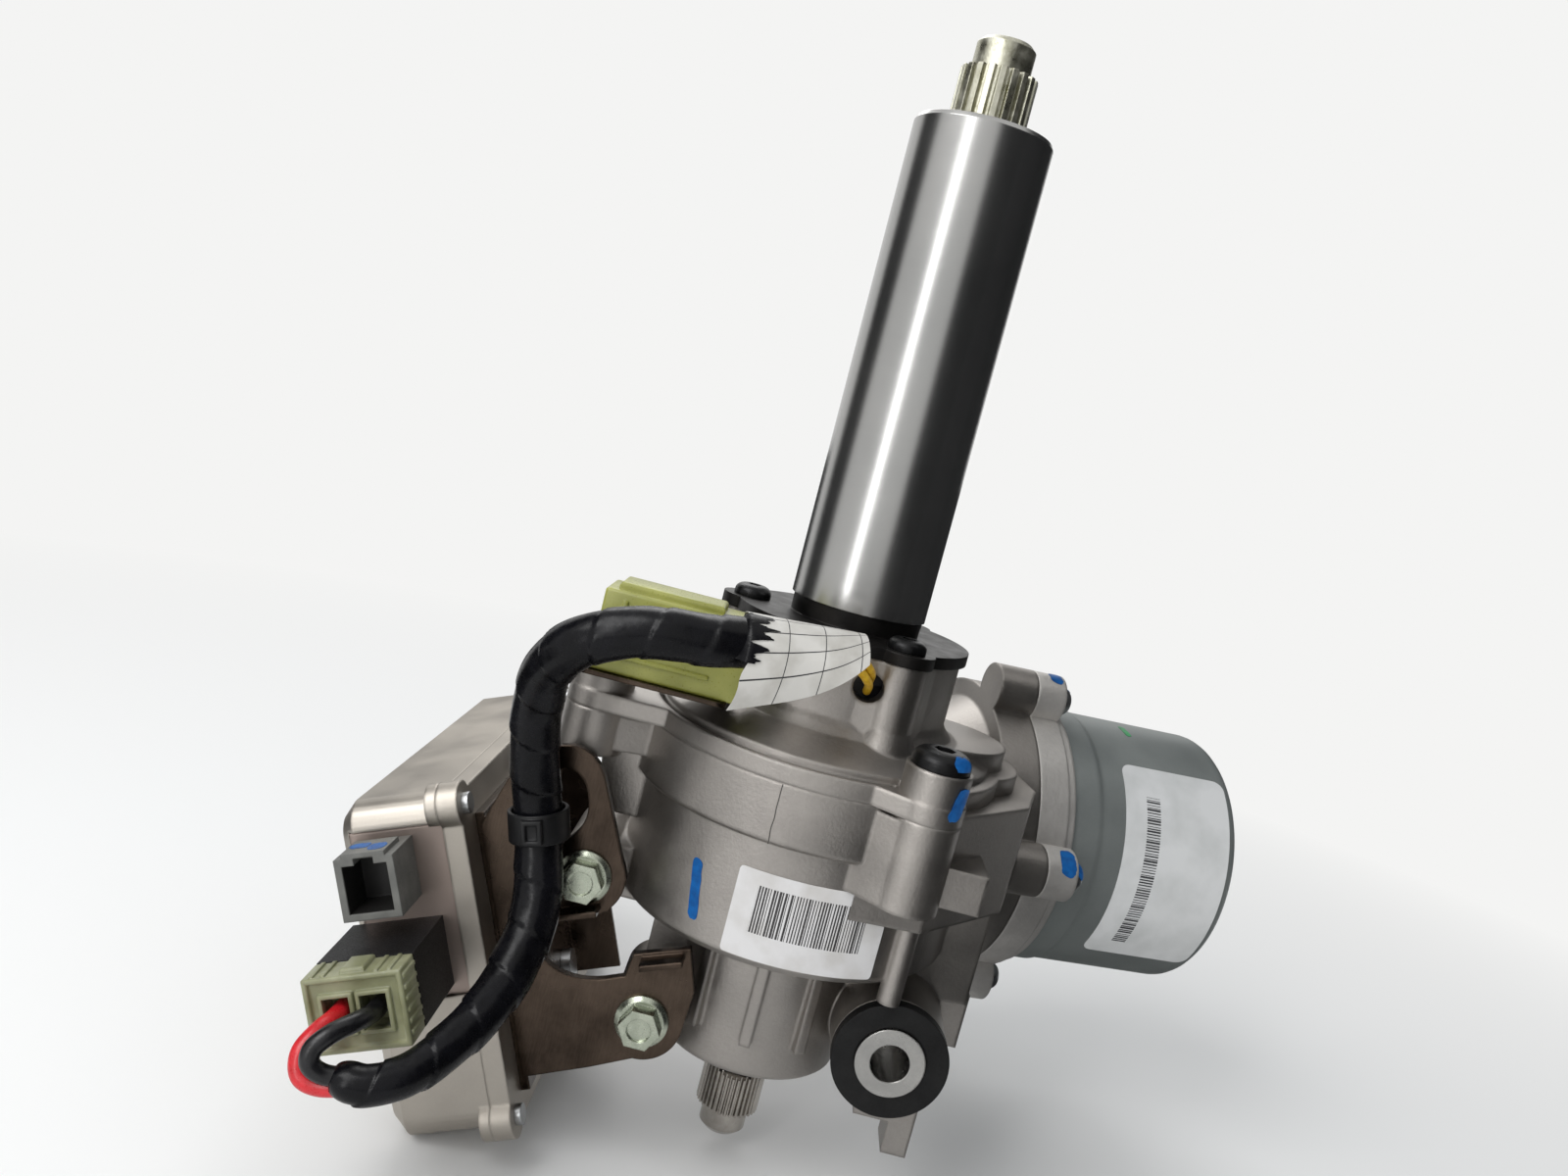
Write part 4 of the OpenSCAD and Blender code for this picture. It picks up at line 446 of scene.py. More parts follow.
# 1 on the inked share of each cell along a label, else 0; with a spread of ink the bars have mixed widths
def inkedCells(tree, along, mark):
    run = addNode(tree, "Math", {"operation": "MULTIPLY"}, i0=along, i1=mark["cells"])
    across = addNode(tree, "Math", {"operation": "FRACT"}, i0=run)
    share = mark["ink"]
    if "inkSpread" in mark:
        cell = addNode(tree, "Math", {"operation": "FLOOR"}, i0=run)
        toss = addNode(tree, "TexWhiteNoise", {"noise_dimensions": "1D"}, W=cell)
        share = addNode(tree, "Math", {"operation": "MULTIPLY_ADD"}, i0=toss, i1=mark["inkSpread"],
                        i2=mark["ink"])
    return addNode(tree, "Math", {"operation": "LESS_THAN"}, i0=across, i1=share)


# label stock: matt white paper with printed rules or bars, laid out in the label's own UV
def labelMaterial(name, look):
    material, tree, shader, place = newMaterial(name)
    flat = addNode(tree, "UVMap", {"uv_map": "printed"})
    part = addNode(tree, "SeparateXYZ", Vector=flat).outputs
    fibre = addNode(tree, "TexNoise", Vector=place, Scale=perMetre(look["fibreMm"]), Detail=3)
    soil = addNode(tree, "TexNoise", Vector=place, Scale=perMetre(look["soilMm"]), Detail=4)
    dirt = addNode(tree, "MapRange", i0=soil, i1=soilBand[0], i2=soilBand[1])
    colour = addNode(tree, "Mix", {"data_type": "RGBA"}, i0=dirt, i6=hexColour(look["paper"]),
                     i7=hexColour(look["soiled"])).outputs[2]
    for mark in look["marks"]:
        inside = insideBox(tree, flat, *zip(mark["u"], mark["v"], (-1, 1)))
        inked = inkedCells(tree, part[mark["along"]], mark)
        covers = addNode(tree, "Math", {"operation": "MULTIPLY"}, i0=inside, i1=inked)
        colour = addNode(tree, "Mix", {"data_type": "RGBA"}, i0=covers, i6=colour,
                         i7=hexColour(mark["colour"])).outputs[2]
    dressShader(tree, shader, colour, look["rough"], fibre, Strength=0.15, Distance=skinDepth["paper"] * mm,
                Height=fibre)
    return material


labelLooks = {
    # thermal label stock: matt paper with printed bars of mixed widths
    "barred label": {
        "paper": "#d3d2d2", "soiled": "#bdbab6", "fibreMm": 0.5, "soilMm": 9, "rough": (0.5, 0.65),
        "marks": [{"u": (0.14, 0.86), "v": (0.30, 0.84), "colour": "#333132", "cells": 54, "ink": 0.25,
                   "inkSpread": 0.6, "along": "X"}]},
    # film label: a smoother stock with one strip of bars
    "lined label": {
        "paper": "#d0d1d1", "soiled": "#bcbebd", "fibreMm": 0.5, "soilMm": 12, "rough": (0.36, 0.5),
        "marks": [{"u": (0.20, 0.33), "v": (0.10, 0.84), "colour": "#39393b", "cells": 80, "ink": 0.25,
                   "inkSpread": 0.6, "along": "Y"}]},
    # white tag paper with a printed grid of thin rules
    "ruled flag": {
        "paper": "#c8c6c1", "soiled": "#a9a69f", "fibreMm": 0.5, "soilMm": 8, "rough": (0.5, 0.65),
        "marks": [{"u": (0.0, 1.0), "v": (0.02, 0.98), "colour": "#2b2b2d", "cells": 1 / 0.15, "ink": 0.06,
                   "along": "Y"},
                  {"u": (0.03, 0.98), "v": (0.0, 1.0), "colour": "#2b2b2d", "cells": 1 / 0.31, "ink": 0.025,
                   "along": "X"}]},
}

finishes = {name: metalMaterial(name, look) for name, look in metalLooks.items()}
finishes.update((name, plasticMaterial(name, look)) for name, look in plasticLooks.items())
finishes.update((name, labelMaterial(name, look)) for name, look in labelLooks.items())

nodeFinish = {
    "ground steel": ["column_tube"],
    "black oxide plate": ["tube_flange"],
    "black oxide screw": ["flange_screws", "cover_screws"],
    "cast aluminium": ["sensor_cover", "gear_housing"],
    "coarse cast aluminium": ["motor_flange"],
    "zinc plated can": ["motor_can"],
    "bright zinc": ["motor_screws", "ecu_screws", "bracket_screws"],
    "yellow zinc": ["bracket_bolts"],
    "bright sheet steel": ["ecu_bracket", "connector_bracket"],
    "pale die casting": ["ecu_cover"],
    "pale die casting with panel": ["ecu_base"],
    "grey polyester": ["signal_socket"],
    "black nylon": ["power_socket", "harness_clip"],
    "natural nylon": ["power_plug", "sensor_connector"],
    "vinyl tape": ["harness_sleeve", "black_lead", "harness_flag"],
    "red vinyl": ["red_lead"],
    "yellow vinyl": ["sensor_wires"],
    "moulded rubber": ["pivot_rubber", "output_seal"],
    "turned steel": ["pivot_collar", "motor_shaft", "worm", "wheel_hub", "torsion_bar", "torsion_pin",
                     "worm_plug"],
    "bright drawn steel": ["output_shaft"],
    "greased steel": ["input_shaft"],
    "bearing steel": ["output_bearing_outers", "output_bearing_inners", "worm_bearing_outers",
                      "worm_bearing_inners", "motor_bearing_outers", "motor_bearing_inners"],
    "cast nylon": ["wheel_ring", "tube_bush"],
    "sintered iron": ["sensor_upper_ring", "sensor_lower_ring"],
    "dark resin": ["sensor_coil", "worm_coupling"],
    "stacked iron leaves": ["stator_core", "rotor_core"],
    "enamelled copper": ["stator_windings"],
    "sintered magnet": ["rotor_magnets"],
    "coated board": ["ecu_board"],
}
for finish, members in nodeFinish.items():
    for member in members:
        nodes[member].data.materials.clear()
        nodes[member].data.materials.append(finishes[finish])
print("finishes on", len(nodes), "nodes")


# a smooth route in metres through points in millimetres, with so many steps from point to point
def catmullRoute(points, steps):
    pts = [Vector(p) * mm for p in points]
    route = []
    for i in range(len(pts) - 1):
        a, b, c, d = pts[max(i - 1, 0)], pts[i], pts[i + 1], pts[min(i + 2, len(pts) - 1)]
        for k in range(steps):
            t = k / steps
            route.append(0.5 * (2 * b + (c - a) * t + (2 * a - 5 * b + 4 * c - d) * t * t
                                + (3 * b - a - 3 * c + d) * t ** 3))
    return route + [pts[-1]]


raggedRings = 4  # how many of a cord's last rings are torn, where it has a torn end
uvPerMetre = 10  # a cord's UV gains 1 in each 100 mm of its length


# a tube along a route: its rings are carried on without twist, and its UV runs along it and round it
def tubePiece(name, route, radiusAt, sides, finish, raggedEnd=0.0):
    last = len(route) - 1
    headings = [(route[min(i + 1, last)] - route[max(i - 1, 0)]).normalized() for i in range(len(route))]
    side = headings[0].orthogonal().normalized()
    verts, faces, along, travelled = [], [], [], 0.0
    for i, (point, heading) in enumerate(zip(route, headings)):
        if i:
            travelled += (point - route[i - 1]).length
            side = (headings[i - 1].rotation_difference(heading) @ side).normalized()
        along.append(travelled)
        other = heading.cross(side)
        for k in range(sides):
            turn = 2 * math.pi * k / sides
            r = radiusAt(travelled, k / sides)
            spot = point + r * (math.cos(turn) * side + math.sin(turn) * other)
            if raggedEnd and i > last - raggedRings:
                tear = raggedEnd * noise.noise(Vector((k * 0.9, i * 0.7, 3.1)))
                spot += heading * tear * (i - last + raggedRings) / raggedRings
            verts.append(spot)
    for i in range(last):
        for k in range(sides):
            beside = (k + 1) % sides
            here, ahead = i * sides, (i + 1) * sides
            faces.append((here + k, here + beside, ahead + beside, ahead + k))
    faces.append(tuple(reversed(range(sides))))
    faces.append(tuple(range(last * sides, len(route) * sides)))
    mesh = bpy.data.meshes.new(name)
    mesh.from_pydata(verts, [], faces)
    uv = mesh.uv_layers.new(name="along")
    for polygon in mesh.polygons:
        polygon.use_smooth = len(polygon.vertices) == 4
        for loop in polygon.loop_indices:
            v = mesh.loops[loop].vertex_index
            turn = v % sides / sides
            if polygon.index % sides == sides - 1 and v % sides == 0 and len(polygon.vertices) == 4:
                turn = 1.0
            uv.data[loop].uv = (along[v // sides] * uvPerMetre, turn)
    mesh.materials.append(finishes[finish])
    piece = bpy.data.objects.new(name, mesh)
    scene.collection.objects.link(piece)
    return piece


# taped lead: from the two leads at the plug, through the band clip, to the flag at the sensor neck
tapedLead = {
    "route": [(-92, -86, -122), (-84, -86, -122), (-75.5, -81, -119), (-67.5, -68, -112), (-63, -55, -103),
              (-62, -45, -90), (-67, -39, -70), (-71, -41, -55), (-73, -46, -39), (-71, -53, -26),
              (-63, -59, -16.5), (-50, -60, -11), (-36, -58, -9.5), (-22, -53, -8)],
    "radius": 6.0, "diameter": 12.4, "startRadius": 4.3, "taper": 62, "nose": 5, "noseLeast": 0.42,
    "tapePitch": 13, "tapeStep": 0.42, "slack": 0.16, "ragged": 3.4, "sides": 48, "steps": 34, "pathSteps": 3}


def tapeRadius(along, turn):
    lead = tapedLead
    grow = min(1.0, along / (lead["taper"] * mm))
    r = lead["startRadius"] + (lead["radius"] - lead["startRadius"]) * grow * grow * (3 - 2 * grow)
    nose = min(1.0, along / (lead["nose"] * mm))
    r *= lead["noseLeast"] + (1 - lead["noseLeast"]) * math.sqrt(nose * (2 - nose))
    lap = (along / (lead["tapePitch"] * mm) + turn) % 1.0
    spot = Vector((along * 160, math.cos(turn * math.tau) * 1.5, math.sin(turn * math.tau) * 1.5))
    slack = lead["slack"] * noise.noise(spot)
    return (r + lead["tapeStep"] * min(1.0, (1 - lap) * 1.1) + slack) * mm


def makeTapedLead(lead):
    route = catmullRoute(lead["route"], lead["steps"])
    piece = tubePiece("tapedLead", route, tapeRadius, lead["sides"], "vinyl tape", lead["ragged"] * mm)
    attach(piece, "housing")
    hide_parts("harness_sleeve")


makeTapedLead(tapedLead)

# the two leads out of the power plug
plugLeads = {
    "redLead": {
        "route": [(-97.5, -67.6, -115.3), (-97.8, -74, -115.3), (-99.5, -79.6, -116.6), (-101, -83.6, -120),
                  (-99.2, -85.8, -124), (-94.4, -86.2, -125), (-87.5, -86, -123.2)],
        "finish": "red vinyl", "node": "red_lead", "slot": "red_wire"},
    "blackLead": {
        "route": [(-89.1, -67.6, -111.9), (-89.5, -74.5, -111.7), (-91.6, -80.8, -111.5),
                  (-94.8, -85.4, -112.8), (-97.3, -87.8, -115.8), (-96.9, -88.4, -119.2),
                  (-93.4, -87.4, -121.3), (-87.5, -86, -121.2)],
        "finish": "black vinyl", "node": "black_lead", "slot": "taped_lead"},
}
plugLeadSize = {"radius": 2.3, "sides": 24, "steps": 12, "pathSteps": 6}


def makePlugLeads(leads, size):
    for name, lead in leads.items():
        route = catmullRoute(lead["route"], size["steps"])
        piece = tubePiece(name, route, lambda along, turn: size["radius"] * mm, size["sides"], lead["finish"])
        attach(piece, "housing")
        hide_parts(lead["node"])


makePlugLeads(plugLeads, plugLeadSize)

# thin sensor wires that go from the flag into the neck
sensorWires = {"route": [(-21.4, -52.8, -8), (-10, -49, -7), (0, -44, -8), (5, -38, -12), (6, -29, -16)],
               "radius": 1.1, "offsets": (-1.4, 1.4), "sides": 16, "steps": 10, "pathSteps": 6}


def makeSensorWires(wires):
    pair = []
    for i, offset in enumerate(wires["offsets"]):
        points = [(x, y, z + offset) for x, y, z in wires["route"]]
        route = catmullRoute(points, wires["steps"])
        piece = tubePiece("sensorWire%d" % (i + 1), route, lambda along, turn: wires["radius"] * mm,
                          wires["sides"], "yellow vinyl")
        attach(piece, "housing")
        pair.append(piece)
    for piece in pair:
        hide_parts("sensor_wires")


makeSensorWires(sensorWires)
print("cords laid")


def setMode(mode):
    bpy.ops.object.mode_set(mode=mode)


def startFresh():
    if bpy.context.object and bpy.context.object.mode != "OBJECT":
        setMode("OBJECT")
    bpy.ops.object.select_all(action="DESELECT")


# selects the given pieces alone, with the first of them active
def takeUp(*pieces):
    startFresh()
    for piece in pieces:
        piece.select_set(True)
    bpy.context.view_layer.objects.active = pieces[0]


def addBox(low, high):
    startFresh()
    middle = [(a + b) / 2 * mm for a, b in zip(low, high)]
    bpy.ops.mesh.primitive_cube_add(size=1, location=middle, scale=[(b - a) * mm for a, b in zip(low, high)])
    bpy.ops.object.transform_apply(location=True, rotation=True, scale=True)
    return bpy.context.object


# opens a piece for editing with the wanted edges or faces selected
def selectParts(piece, kind, wanted):
    setMode("EDIT")
    bpy.ops.mesh.select_mode(type=kind)
    bpy.ops.mesh.select_all(action="DESELECT")
    setMode("OBJECT")
    for part in piece.data.edges if kind == "EDGE" else piece.data.polygons:
        part.select = wanted(part)
    setMode("EDIT")


def selectEdges(piece, wanted):
    selectParts(piece, "EDGE", lambda edge: wanted(*[piece.data.vertices[v].co / mm for v in edge.vertices]))


def selectFaces(piece, wanted):
    selectParts(piece, "FACE", lambda face: wanted(face.center / mm, face.normal))


def applyModifier(piece, kind, **settings):
    takeUp(piece)
    modifier = piece.modifiers.new(kind.lower(), kind)
    for key, value in settings.items():
        setattr(modifier, key, value)
    bpy.ops.object.modifier_apply(modifier=modifier.name)


def bevelAll(piece, width, segments=3, limit=35):
    applyModifier(piece, "BEVEL", width=width * mm, segments=segments, limit_method="ANGLE",
                  angle_limit=math.radians(limit))


def cutWith(piece, cutter):
    applyModifier(piece, "BOOLEAN", operation="DIFFERENCE", object=cutter)
    bpy.data.objects.remove(cutter)


def joinPieces(pieces):
    takeUp(*pieces)
    bpy.ops.object.join()
    return pieces[0]


smoothAngle = 32


# names a piece of the housing, gives it its finish, and says which CAD nodes it stands for
def finishPiece(piece, name, finish, replaced=(), matrix=None):
    takeUp(piece)
    piece.name = name
    if matrix is not None:
        piece.data.transform(matrix)
    piece.data.materials.clear()
    piece.data.materials.append(finishes[finish])
    bpy.ops.object.shade_smooth_by_angle(angle=math.radians(smoothAngle))
    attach(piece, "housing")
    if replaced:
        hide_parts(*replaced)


ecuMatrix = (Matrix.Translation(Vector(unitAxes["at"]) * mm)
             @ Matrix.Rotation(math.radians(unitAxes["lean"]), 4, "Y"))

# power plug: a hood with two square pockets for the leads, a thumb latch on top and ribs for the grip
powerPlug = {
    "hood": ((-17, -73, -4), (7, -63.4, 15)), "lip": 1.3, "recess": 1.0, "recessDraft": 0.15,
    "body": ((-15, -64, -2), (5, -47.2, 13)),
    "pockets": (-9.5, -0.5), "pocketWide": 6.4, "pocketLow": 1.2, "pocketHigh": 9.8, "pocketDepth": 6,
    "frame": 1.0, "frameOut": 0.1, "frameDepth": 2.5,
    "latch": ((-8, -71.5, 14.6), (-2, -63.6, 16.2)), "latchRound": 0.9,
    "topRibs": (-15.2, -12.4, 0.4, 3.6), "topRib": ((0, -72.4, 14.7), (1.1, -63.8, 15.5)),
    "sideRibs": (-1.6, 1.2, 4.0, 6.8, 9.6, 12.4), "sideRib": ((6.7, -72.2, 0), (7.5, -64.0, 1.2)),
}


def makePowerPlug(plug):
    front = plug["hood"][0][1]
    hood = addBox(*plug["hood"])
    selectFaces(hood, lambda c, n: n.y < -0.9)
    bpy.ops.mesh.inset(thickness=plug["lip"] * mm, depth=0)
    bpy.ops.mesh.inset(thickness=plug["recessDraft"] * mm, depth=-plug["recess"] * mm)
    setMode("OBJECT")
    bevelAll(hood, 0.45)
    parts = [hood]
    half, rim = plug["pocketWide"] / 2, plug["frame"]
    low, high = plug["pocketLow"], plug["pocketHigh"]
    for t in plug["pockets"]:
        frameBox = addBox((t - half - rim, front - plug["frameOut"], low - rim),
                          (t + half + rim, front + plug["frameDepth"], high + rim))
        bevelAll(frameBox, 0.35)
        for part in (hood, frameBox):
            pocket = addBox((t - half, front - 1, low), (t + half, front + plug["pocketDepth"], high))
            cutWith(part, pocket)
        parts.append(frameBox)
    body = addBox(*plug["body"])
    bevelAll(body, 0.4)
    latch = addBox(*plug["latch"])
    latchTop = plug["latch"][1][2]
    selectEdges(latch, lambda a, b: min(a.z, b.z) > latchTop - 0.2)
    bpy.ops.mesh.bevel(offset=plug["latchRound"] * mm, segments=4)
    setMode("OBJECT")
    parts += [body, latch]
    for t in plug["topRibs"]:
        rib = addBox(*[(t + x, y, z) for x, y, z in plug["topRib"]])
        bevelAll(rib, 0.25, 2)
        parts.append(rib)
    for h in plug["sideRibs"]:
        rib = addBox(*[(x, y, h + z) for x, y, z in plug["sideRib"]])
        bevelAll(rib, 0.3, 2)
        parts.append(rib)
    finishPiece(joinPieces(parts), "powerPlug", "natural nylon", ["power_plug"], ecuMatrix)


makePowerPlug(powerPlug)

# connector on its shelf: a milky box with a raised lid, side rails and an open mouth towards the neck
connector = {
    "low": (-64, -42, -26.8), "high": (-22, -25.5, -5.8), "mouth": 9, "wall": 2,
    "lid": ((-61, -40, -6.0), (-34, -27.5, -3.8)), "lidRound": 1.2,
    "rails": (4.3, 9.3), "rail": ((2.5, -0.7, 0), (30, 0.3, 1.2)),
    "ribs": (5, 13, 21), "rib": ((0, -0.6, 11.3), (1.4, 0.3, 18.8)),
}


def makeConnector(part):
    box = addBox(part["low"], part["high"])
    selectFaces(box, lambda c, n: n.x > 0.9)
    bpy.ops.mesh.inset(thickness=part["wall"] * mm, depth=0)
    bpy.ops.mesh.extrude_region_move(TRANSFORM_OT_translate={"value": (-part["mouth"] * mm, 0, 0)})
    setMode("OBJECT")
    bevelAll(box, 0.9, 4)
    lid = addBox(*part["lid"])
    lidTop = part["lid"][1][2]
    selectEdges(lid, lambda a, b: min(a.z, b.z) > lidTop - 0.1)
    bpy.ops.mesh.bevel(offset=part["lidRound"] * mm, segments=4)
    setMode("OBJECT")
    parts = [box, lid]
    left, near, foot = part["low"]
    for height in part["rails"]:
        rail = addBox(*[(left + x, near + y, foot + height + z) for x, y, z in part["rail"]])
        bevelAll(rail, 0.35, 2)
        parts.append(rail)
    for across in part["ribs"]:
        rib = addBox(*[(left + across + x, near + y, foot + z) for x, y, z in part["rib"]])
        bevelAll(rib, 0.3, 2)
        parts.append(rib)
    finishPiece(joinPieces(parts), "sensorPlug", "pale nylon", ["sensor_connector"])


makeConnector(connector)

# band clip round the taped lead: a thin strap, a latch with its window, and a foot on the bracket
bandClip = {"at": (-67, -39, -70), "routePoints": (5, 7), "inner": 6.75, "strap": 1.1, "width": 8,
            "latchHalf": (2.6, 3.2), "latchOut": 1.5, "latchIn": 0.8, "window": 1.1, "windowDraft": 0.25,
            "footHalf": (3.6, 3.4), "footIn": 1.4, "footTo": -30.1}


def makeBandClip(clip):
    before, after = (Vector(tapedLead["route"][i]) for i in clip["routePoints"])
    heading = (after - before).normalized()
    lean = math.acos(heading.z) * (-1 if heading.x < 0 else 1)
    turned = Matrix.Translation(Vector(clip["at"]) * mm) @ Matrix.Rotation(lean, 4, "Y")
    startFresh()
    bpy.ops.mesh.primitive_cylinder_add(vertices=64, radius=clip["inner"] * mm, depth=clip["width"] * mm,
                                        end_fill_type="NOTHING")
    band = bpy.context.object
    applyModifier(band, "SOLIDIFY", thickness=clip["strap"] * mm, offset=1)
    bevelAll(band, 0.35, 3, 50)
    reach = clip["inner"] + clip["strap"]
    wide, tall = clip["latchHalf"]
    latch = addBox((-wide, -reach - clip["latchOut"], -tall), (wide, -reach + clip["latchIn"], tall))
    selectFaces(latch, lambda c, n: n.y < -0.9)
    bpy.ops.mesh.inset(thickness=clip["window"] * mm, depth=0)
    bpy.ops.mesh.inset(thickness=clip["windowDraft"] * mm, depth=-clip["window"] * mm)
    setMode("OBJECT")
    bevelAll(latch, 0.3, 2)
    wide, tall = clip["footHalf"]
    foot = addBox((-wide, reach - clip["footIn"], -tall), (wide, clip["footTo"] - clip["at"][1], tall))
    bevelAll(foot, 0.5, 3)
    finishPiece(joinPieces([band, latch, foot]), "bandClip", "black nylon", ["harness_clip"],
                turned)


makeBandClip(bandClip)
print("plugs and clip made")


# a sheet laid on a surface: a grid whose points are placed by the given rule, then thickened to both sides
def laidSheet(columns, rows, place, thickness):
    startFresh()
    bpy.ops.mesh.primitive_grid_add(x_subdivisions=columns, y_subdivisions=rows, size=2)
    piece = bpy.context.object
    piece.data.uv_layers[0].name = "printed"
    for vertex in piece.data.vertices:
        vertex.co = Vector(place(vertex.co.x, vertex.co.y)) * mm
    applyModifier(piece, "SOLIDIFY", thickness=thickness * mm, offset=0)
    return piece


# a point of a sheet with rounded corners, from -1 to 1 both ways, in millimetres
def roundCorner(u, v, width, height, radius):
    x, y = u * width / 2, v * height / 2
    cx, cy = width / 2 - radius, height / 2 - radius
    if abs(x) > cx and abs(y) > cy:
        dx, dy = abs(x) - cx, abs(y) - cy
        far = max(math.hypot(dx, dy), 1e-6)
        squeeze = max(dx, dy) / far
        x, y = math.copysign(cx + dx * squeeze, x), math.copysign(cy + dy * squeeze, y)
    return x, y


# sizes of the case and the motor that labels and paint lie on, as in the CAD
caseSize = {"body": 47.5, "ring": 50, "boss": 8.8, "bossAt": (27, -46), "bossTop": -28, "socketTop": 38.2,
            "can": 41.7, "ear": 8, "earRing": 49.5, "earEnd": 85}
wormAxis = {"turn": 15, "across": 48, "height": -69}
wormMatrix = (Matrix.Rotation(math.radians(wormAxis["turn"]), 4, "Z")
              @ Matrix.Translation((0, wormAxis["across"], wormAxis["height"]))
              @ Matrix.Rotation(math.radians(90), 4, "Y"))


def onColumn(radius, angle, across, z):
    turn = math.radians(angle) + across / radius
    return radius * math.cos(turn), radius * math.sin(turn), z


def onCan(lift, along, angle, across):
    radius = caseSize["can"] + lift
    turn = math.radians(angle) + across / radius
    c, s = math.cos(math.radians(wormAxis["turn"])), math.sin(math.radians(wormAxis["turn"]))
    y = wormAxis["across"] - radius * math.sin(turn)
    return along * c - y * s, along * s + y * c, wormAxis["height"] + radius * math.cos(turn)


# plain white labels with rounded corners and a row of bars
labels = {
    "bodyLabel": {"size": (41, 23), "corner": 1.0, "grid": (60, 24), "angle": -83, "height": -76.3,
                  "finish": "barred label"},
    "motorLabel": {"size": (38, 68), "corner": 3.5, "grid": (40, 80), "angle": 82, "along": 126.5,
                   "finish": "lined label"},
}
labelThick = 0.12


def makeLabels(plan):
    for name, label in plan.items():
        def place(u, v):
            x, y = roundCorner(u, v, *label["size"], label["corner"])
            if "along" in label:
                return onCan(labelThick, label["along"] + x, label["angle"], -y)
            return onColumn(caseSize["body"] + labelThick, label["angle"], x, label["height"] + y)
        piece = laidSheet(*label["grid"], place, labelThick)
        finishPiece(piece, name, label["finish"])


makeLabels(labels)

# the flag: a label folded over the wires, its front falling in a curl, the lower corner swung to the left;
# s runs along the wires from 0 to 1, and turns are in degrees from the top towards the front
flag = {
    "start": (-27.5, -53.4, -10.4), "end": (1.0, -46.2, -9.6), "radius": 9.0, "thick": 0.16, "grid": (48, 64),
    "backEdge": -70, "frontEdge": 146, "frontSlant": 38, "frontCurve": 40, "ripple": 0.25, "roughEdge": 0.9,
    "fallFrom": 60, "fallOver": 70, "flare": 0.10, "opening": 0.06, "swing": 1.2, "drop": 3.2,
    "dropSlant": 0.35,
}
# the last turn of tape, torn off over the flag's left edge and sunk to the lead behind it
tornTape = {"from": 8, "to": 92, "back": -0.16, "front": 0.10, "tear": 0.17, "nick": 0.05, "lift": 0.35,
            "under": 6.6, "sinkOver": 0.09, "thick": 0.14, "grid": (16, 72)}


def makeFlag(plan, tape):
    start, end = Vector(plan["start"]), Vector(plan["end"])
    axis = (end - start).normalized()
    up = Vector((0, 0, 1)) - axis * axis.z
    up.normalize()
    near = up.cross(axis).normalized()
    near = near if near.y < 0 else -near

    def onFlag(s, turn, lift):
        fall = max(0.0, math.degrees(turn) - plan["fallFrom"]) / plan["fallOver"]
        r = plan["radius"] * (1 + plan["flare"] * fall * (1 - s) + plan["opening"] * fall * fall) + lift
        spot = start.lerp(end, s) + r * (math.cos(turn) * up + math.sin(turn) * near)
        swing = plan["swing"] * fall * fall * (1 - s)
        drop = plan["drop"] * fall * fall * (1 - plan["dropSlant"] * s)
        return spot - axis * swing - up * drop

    def paper(u, v):
        s, t = (u + 1) / 2, (v + 1) / 2
        front = plan["frontEdge"] - plan["frontSlant"] * s - plan["frontCurve"] * s ** 4
        turn = math.radians(plan["backEdge"] + (front - plan["backEdge"]) * (1 - t))
        ripple = plan["ripple"] * noise.noise(Vector((u * 2.1, v * 2.7, 0.4)))
        edge = plan["roughEdge"] * noise.noise(Vector((t * 9, 2.2, 5.0))) * max(0, 1 - s * 9)
        return onFlag(s, turn, 0) + ripple * near + axis * edge
    piece = laidSheet(*plan["grid"], paper, plan["thick"])
    finishPiece(piece, "flagLabel", "ruled flag", ["harness_flag"])

    def torn(u, v):
        t = (v + 1) / 2
        turn = math.radians(tape["from"] + (tape["to"] - tape["from"]) * t)
        tear = (tape["tear"] * noise.noise(Vector((t * 11, 0.7, 1.9)))
                + tape["nick"] * noise.noise(Vector((t * 31, 4.0, 2.0))))
        s = tape["back"] + (tape["front"] + tear - tape["back"]) * (u + 1) / 2
        sunk = min(1.0, max(0.0, -s / tape["sinkOver"]))
        depth = (plan["radius"] - tape["under"]) * sunk * sunk * (3 - 2 * sunk)
        return onFlag(s, turn, tape["lift"] - depth)
    piece = laidSheet(*tape["grid"], torn, tape["thick"])
    finishPiece(piece, "tornTape", "vinyl tape")


makeFlag(flag, tornTape)
print("labels laid")

# marking paint: brush dabs that follow the surface they were put on
paintThick = 0.08
paintDabs = {
    "bodyDash": {"on": "body", "size": (3.0, 15.5), "grid": (8, 28), "lift": 0.06, "angle": -120.5,
                 "slant": -0.2, "height": -75.8},
    "bossDab": {"on": "boss", "size": (4.4, 8.5), "grid": (10, 16), "lift": 0.07, "angle": -47, "slant": 1.3,
                "height": -34.5},
    "canDash": {"on": "can", "size": (2.2, 7.5), "grid": (6, 16), "lift": 0.06, "angle": 9, "along": 116.5,
                "finish": "green paint"},
    "socketDabLeft": {"on": "socket", "size": (5.2, 4.0), "grid": (12, 8), "lift": 0.05,
                      "at": (-7.6, -47.6)},
    "socketDabRight": {"on": "socket", "size": (4.6, 5.0), "grid": (12, 8), "lift": 0.05,
                       "at": (-2.6, -49.5)},
    "earDabTop": {"on": "ear", "size": (6.0, 4.4), "grid": (16, 10), "lift": 0.07, "seat": 195, "turn": 196,
                  "along": -3.0},
    "earDabSide": {"on": "ear", "size": (9.0, 4.8), "grid": (20, 10), "lift": 0.07, "seat": 267, "turn": 224,
                   "along": -3.2},
}
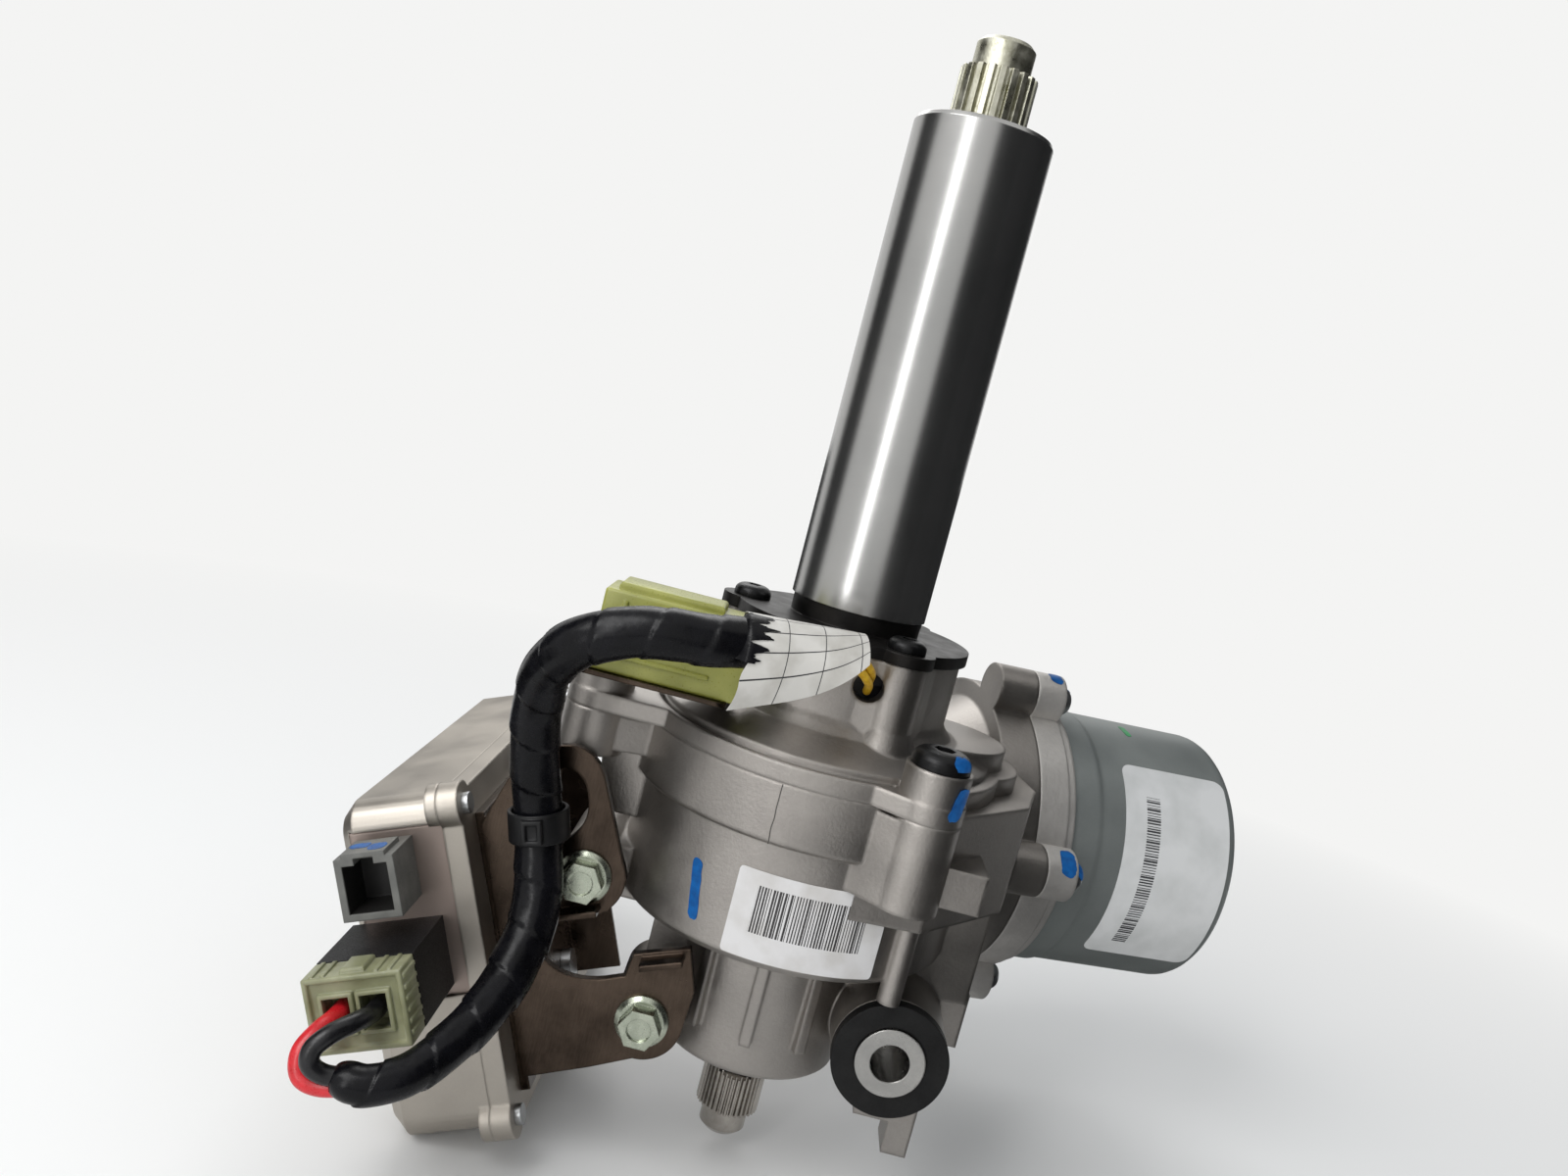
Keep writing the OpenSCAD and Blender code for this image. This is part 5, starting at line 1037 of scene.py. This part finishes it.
screwDabs = {
    "coverScrewDab": {"head": (7.6, 4.6), "turn": -47, "spread": 26, "climb": (0.0, 0.8)},
    "motorScrewDabTop": {"head": (4.6, 4.5), "seat": 195, "turn": 150, "spread": 50, "climb": (0.0, 0.9)},
    "motorScrewDabSide": {"head": (4.6, 4.5), "seat": 267, "turn": 205, "spread": 60, "climb": (0.0, 0.95)},
}
screwDabGrid = (16, 16)
buttonHead = {"crown": 0.5, "skirt": 0.3, "liftOut": 0.09, "liftUp": 0.05}


# a rounded dab whose outline wavers
def dabShape(width, height, seed):
    def shape(u, v):
        x, y = roundCorner(u, v, width, height, min(width, height) * 0.42)
        wobble = noise.noise(Vector((x * 0.9, y * 0.55, seed)))
        return x * (1 + 0.12 * wobble), y + 0.3 * noise.noise(Vector((x * 1.3, y * 0.2, seed + 4)))
    return shape


# a point on a button head, given round it and up its crown, as the CAD head is drawn
def onHead(radius, height, turn, climb):
    head = buttonHead
    a = climb * math.pi / 2
    r = radius * (head["crown"] + (1 - head["crown"]) * math.cos(a)) + head["liftOut"]
    z = height * (head["skirt"] + (1 - head["skirt"]) * math.sin(a)) + head["liftUp"]
    return Vector((r * math.cos(turn), r * math.sin(turn), z))


# the end of a motor ear, where its screw sits, from the ear's place round the motor
def earSeat(angle):
    around, ring = math.radians(angle), caseSize["earRing"]
    spot = ring * math.cos(around), ring * math.sin(around), caseSize["earEnd"]
    return wormMatrix @ Matrix.Translation(spot)


def onSurface(dab, x, y):
    lift = dab["lift"]
    if dab["on"] == "can":
        return onCan(lift, dab["along"] + x, dab["angle"], y)
    if dab["on"] == "ear":
        a, r = math.radians(dab["turn"]) + x / caseSize["ear"], caseSize["ear"] + lift
        return earSeat(dab["seat"]) @ Vector((r * math.cos(a), r * math.sin(a), dab["along"] + y))
    if dab["on"] == "socket":
        return dab["at"][0] + x, dab["at"][1] + y, caseSize["socketTop"] + lift
    spot = onColumn(caseSize[dab["on"]] + lift, dab["angle"] + y * dab["slant"], x, dab["height"] + y)
    return Vector(spot) + Vector((*caseSize["bossAt"], 0)) if dab["on"] == "boss" else spot


def makePaint(plan, heads):
    for seed, (name, dab) in enumerate(plan.items()):
        shape = dabShape(*dab["size"], seed + 1.0)
        piece = laidSheet(*dab["grid"], lambda u, v: onSurface(dab, *shape(u, v)), paintThick)
        finishPiece(piece, name, dab.get("finish", "blue paint"),
                    matrix=ecuMatrix if dab["on"] == "socket" else None)
    for seed, (name, dab) in enumerate(heads.items()):
        seat = Matrix.Translation((*caseSize["bossAt"], caseSize["bossTop"]))
        if "seat" in dab:
            seat = earSeat(dab["seat"])

        def place(u, v):
            low, high = dab["climb"]
            turn = math.radians(dab["turn"] + dab["spread"] * u * (1 - 0.35 * abs(v)))
            ragged = 0.12 * noise.noise(Vector((u * 2.0, v * 1.5, seed + 9.0)))
            climb = low + (high - low) * (v + 1) / 2 + ragged * (v + 1)
            return seat @ onHead(*dab["head"], turn, min(1, max(0.01, climb)))
        piece = laidSheet(*screwDabGrid, place, paintThick)
        finishPiece(piece, name, "blue paint")


makePaint(paintDabs, screwDabs)

# a fitter's mark scribed across the case's upper ring
scribeMark = {"angle": -101, "wander": 0.35, "halfWide": 0.13, "height": -49, "halfTall": 7.8, "lift": 0.03,
              "thick": 0.06, "grid": (2, 24)}


def makeScribe(mark):
    def place(u, v):
        angle = mark["angle"] + mark["wander"] * noise.noise(Vector((v * 2, 0.3, 1.0)))
        return onColumn(caseSize["ring"] + mark["lift"], angle, u * mark["halfWide"],
                        mark["height"] + v * mark["halfTall"])
    piece = laidSheet(*mark["grid"], place, mark["thick"])
    finishPiece(piece, "scribeLine", "dark scribe")


makeScribe(scribeMark)
print("paint dabs on")
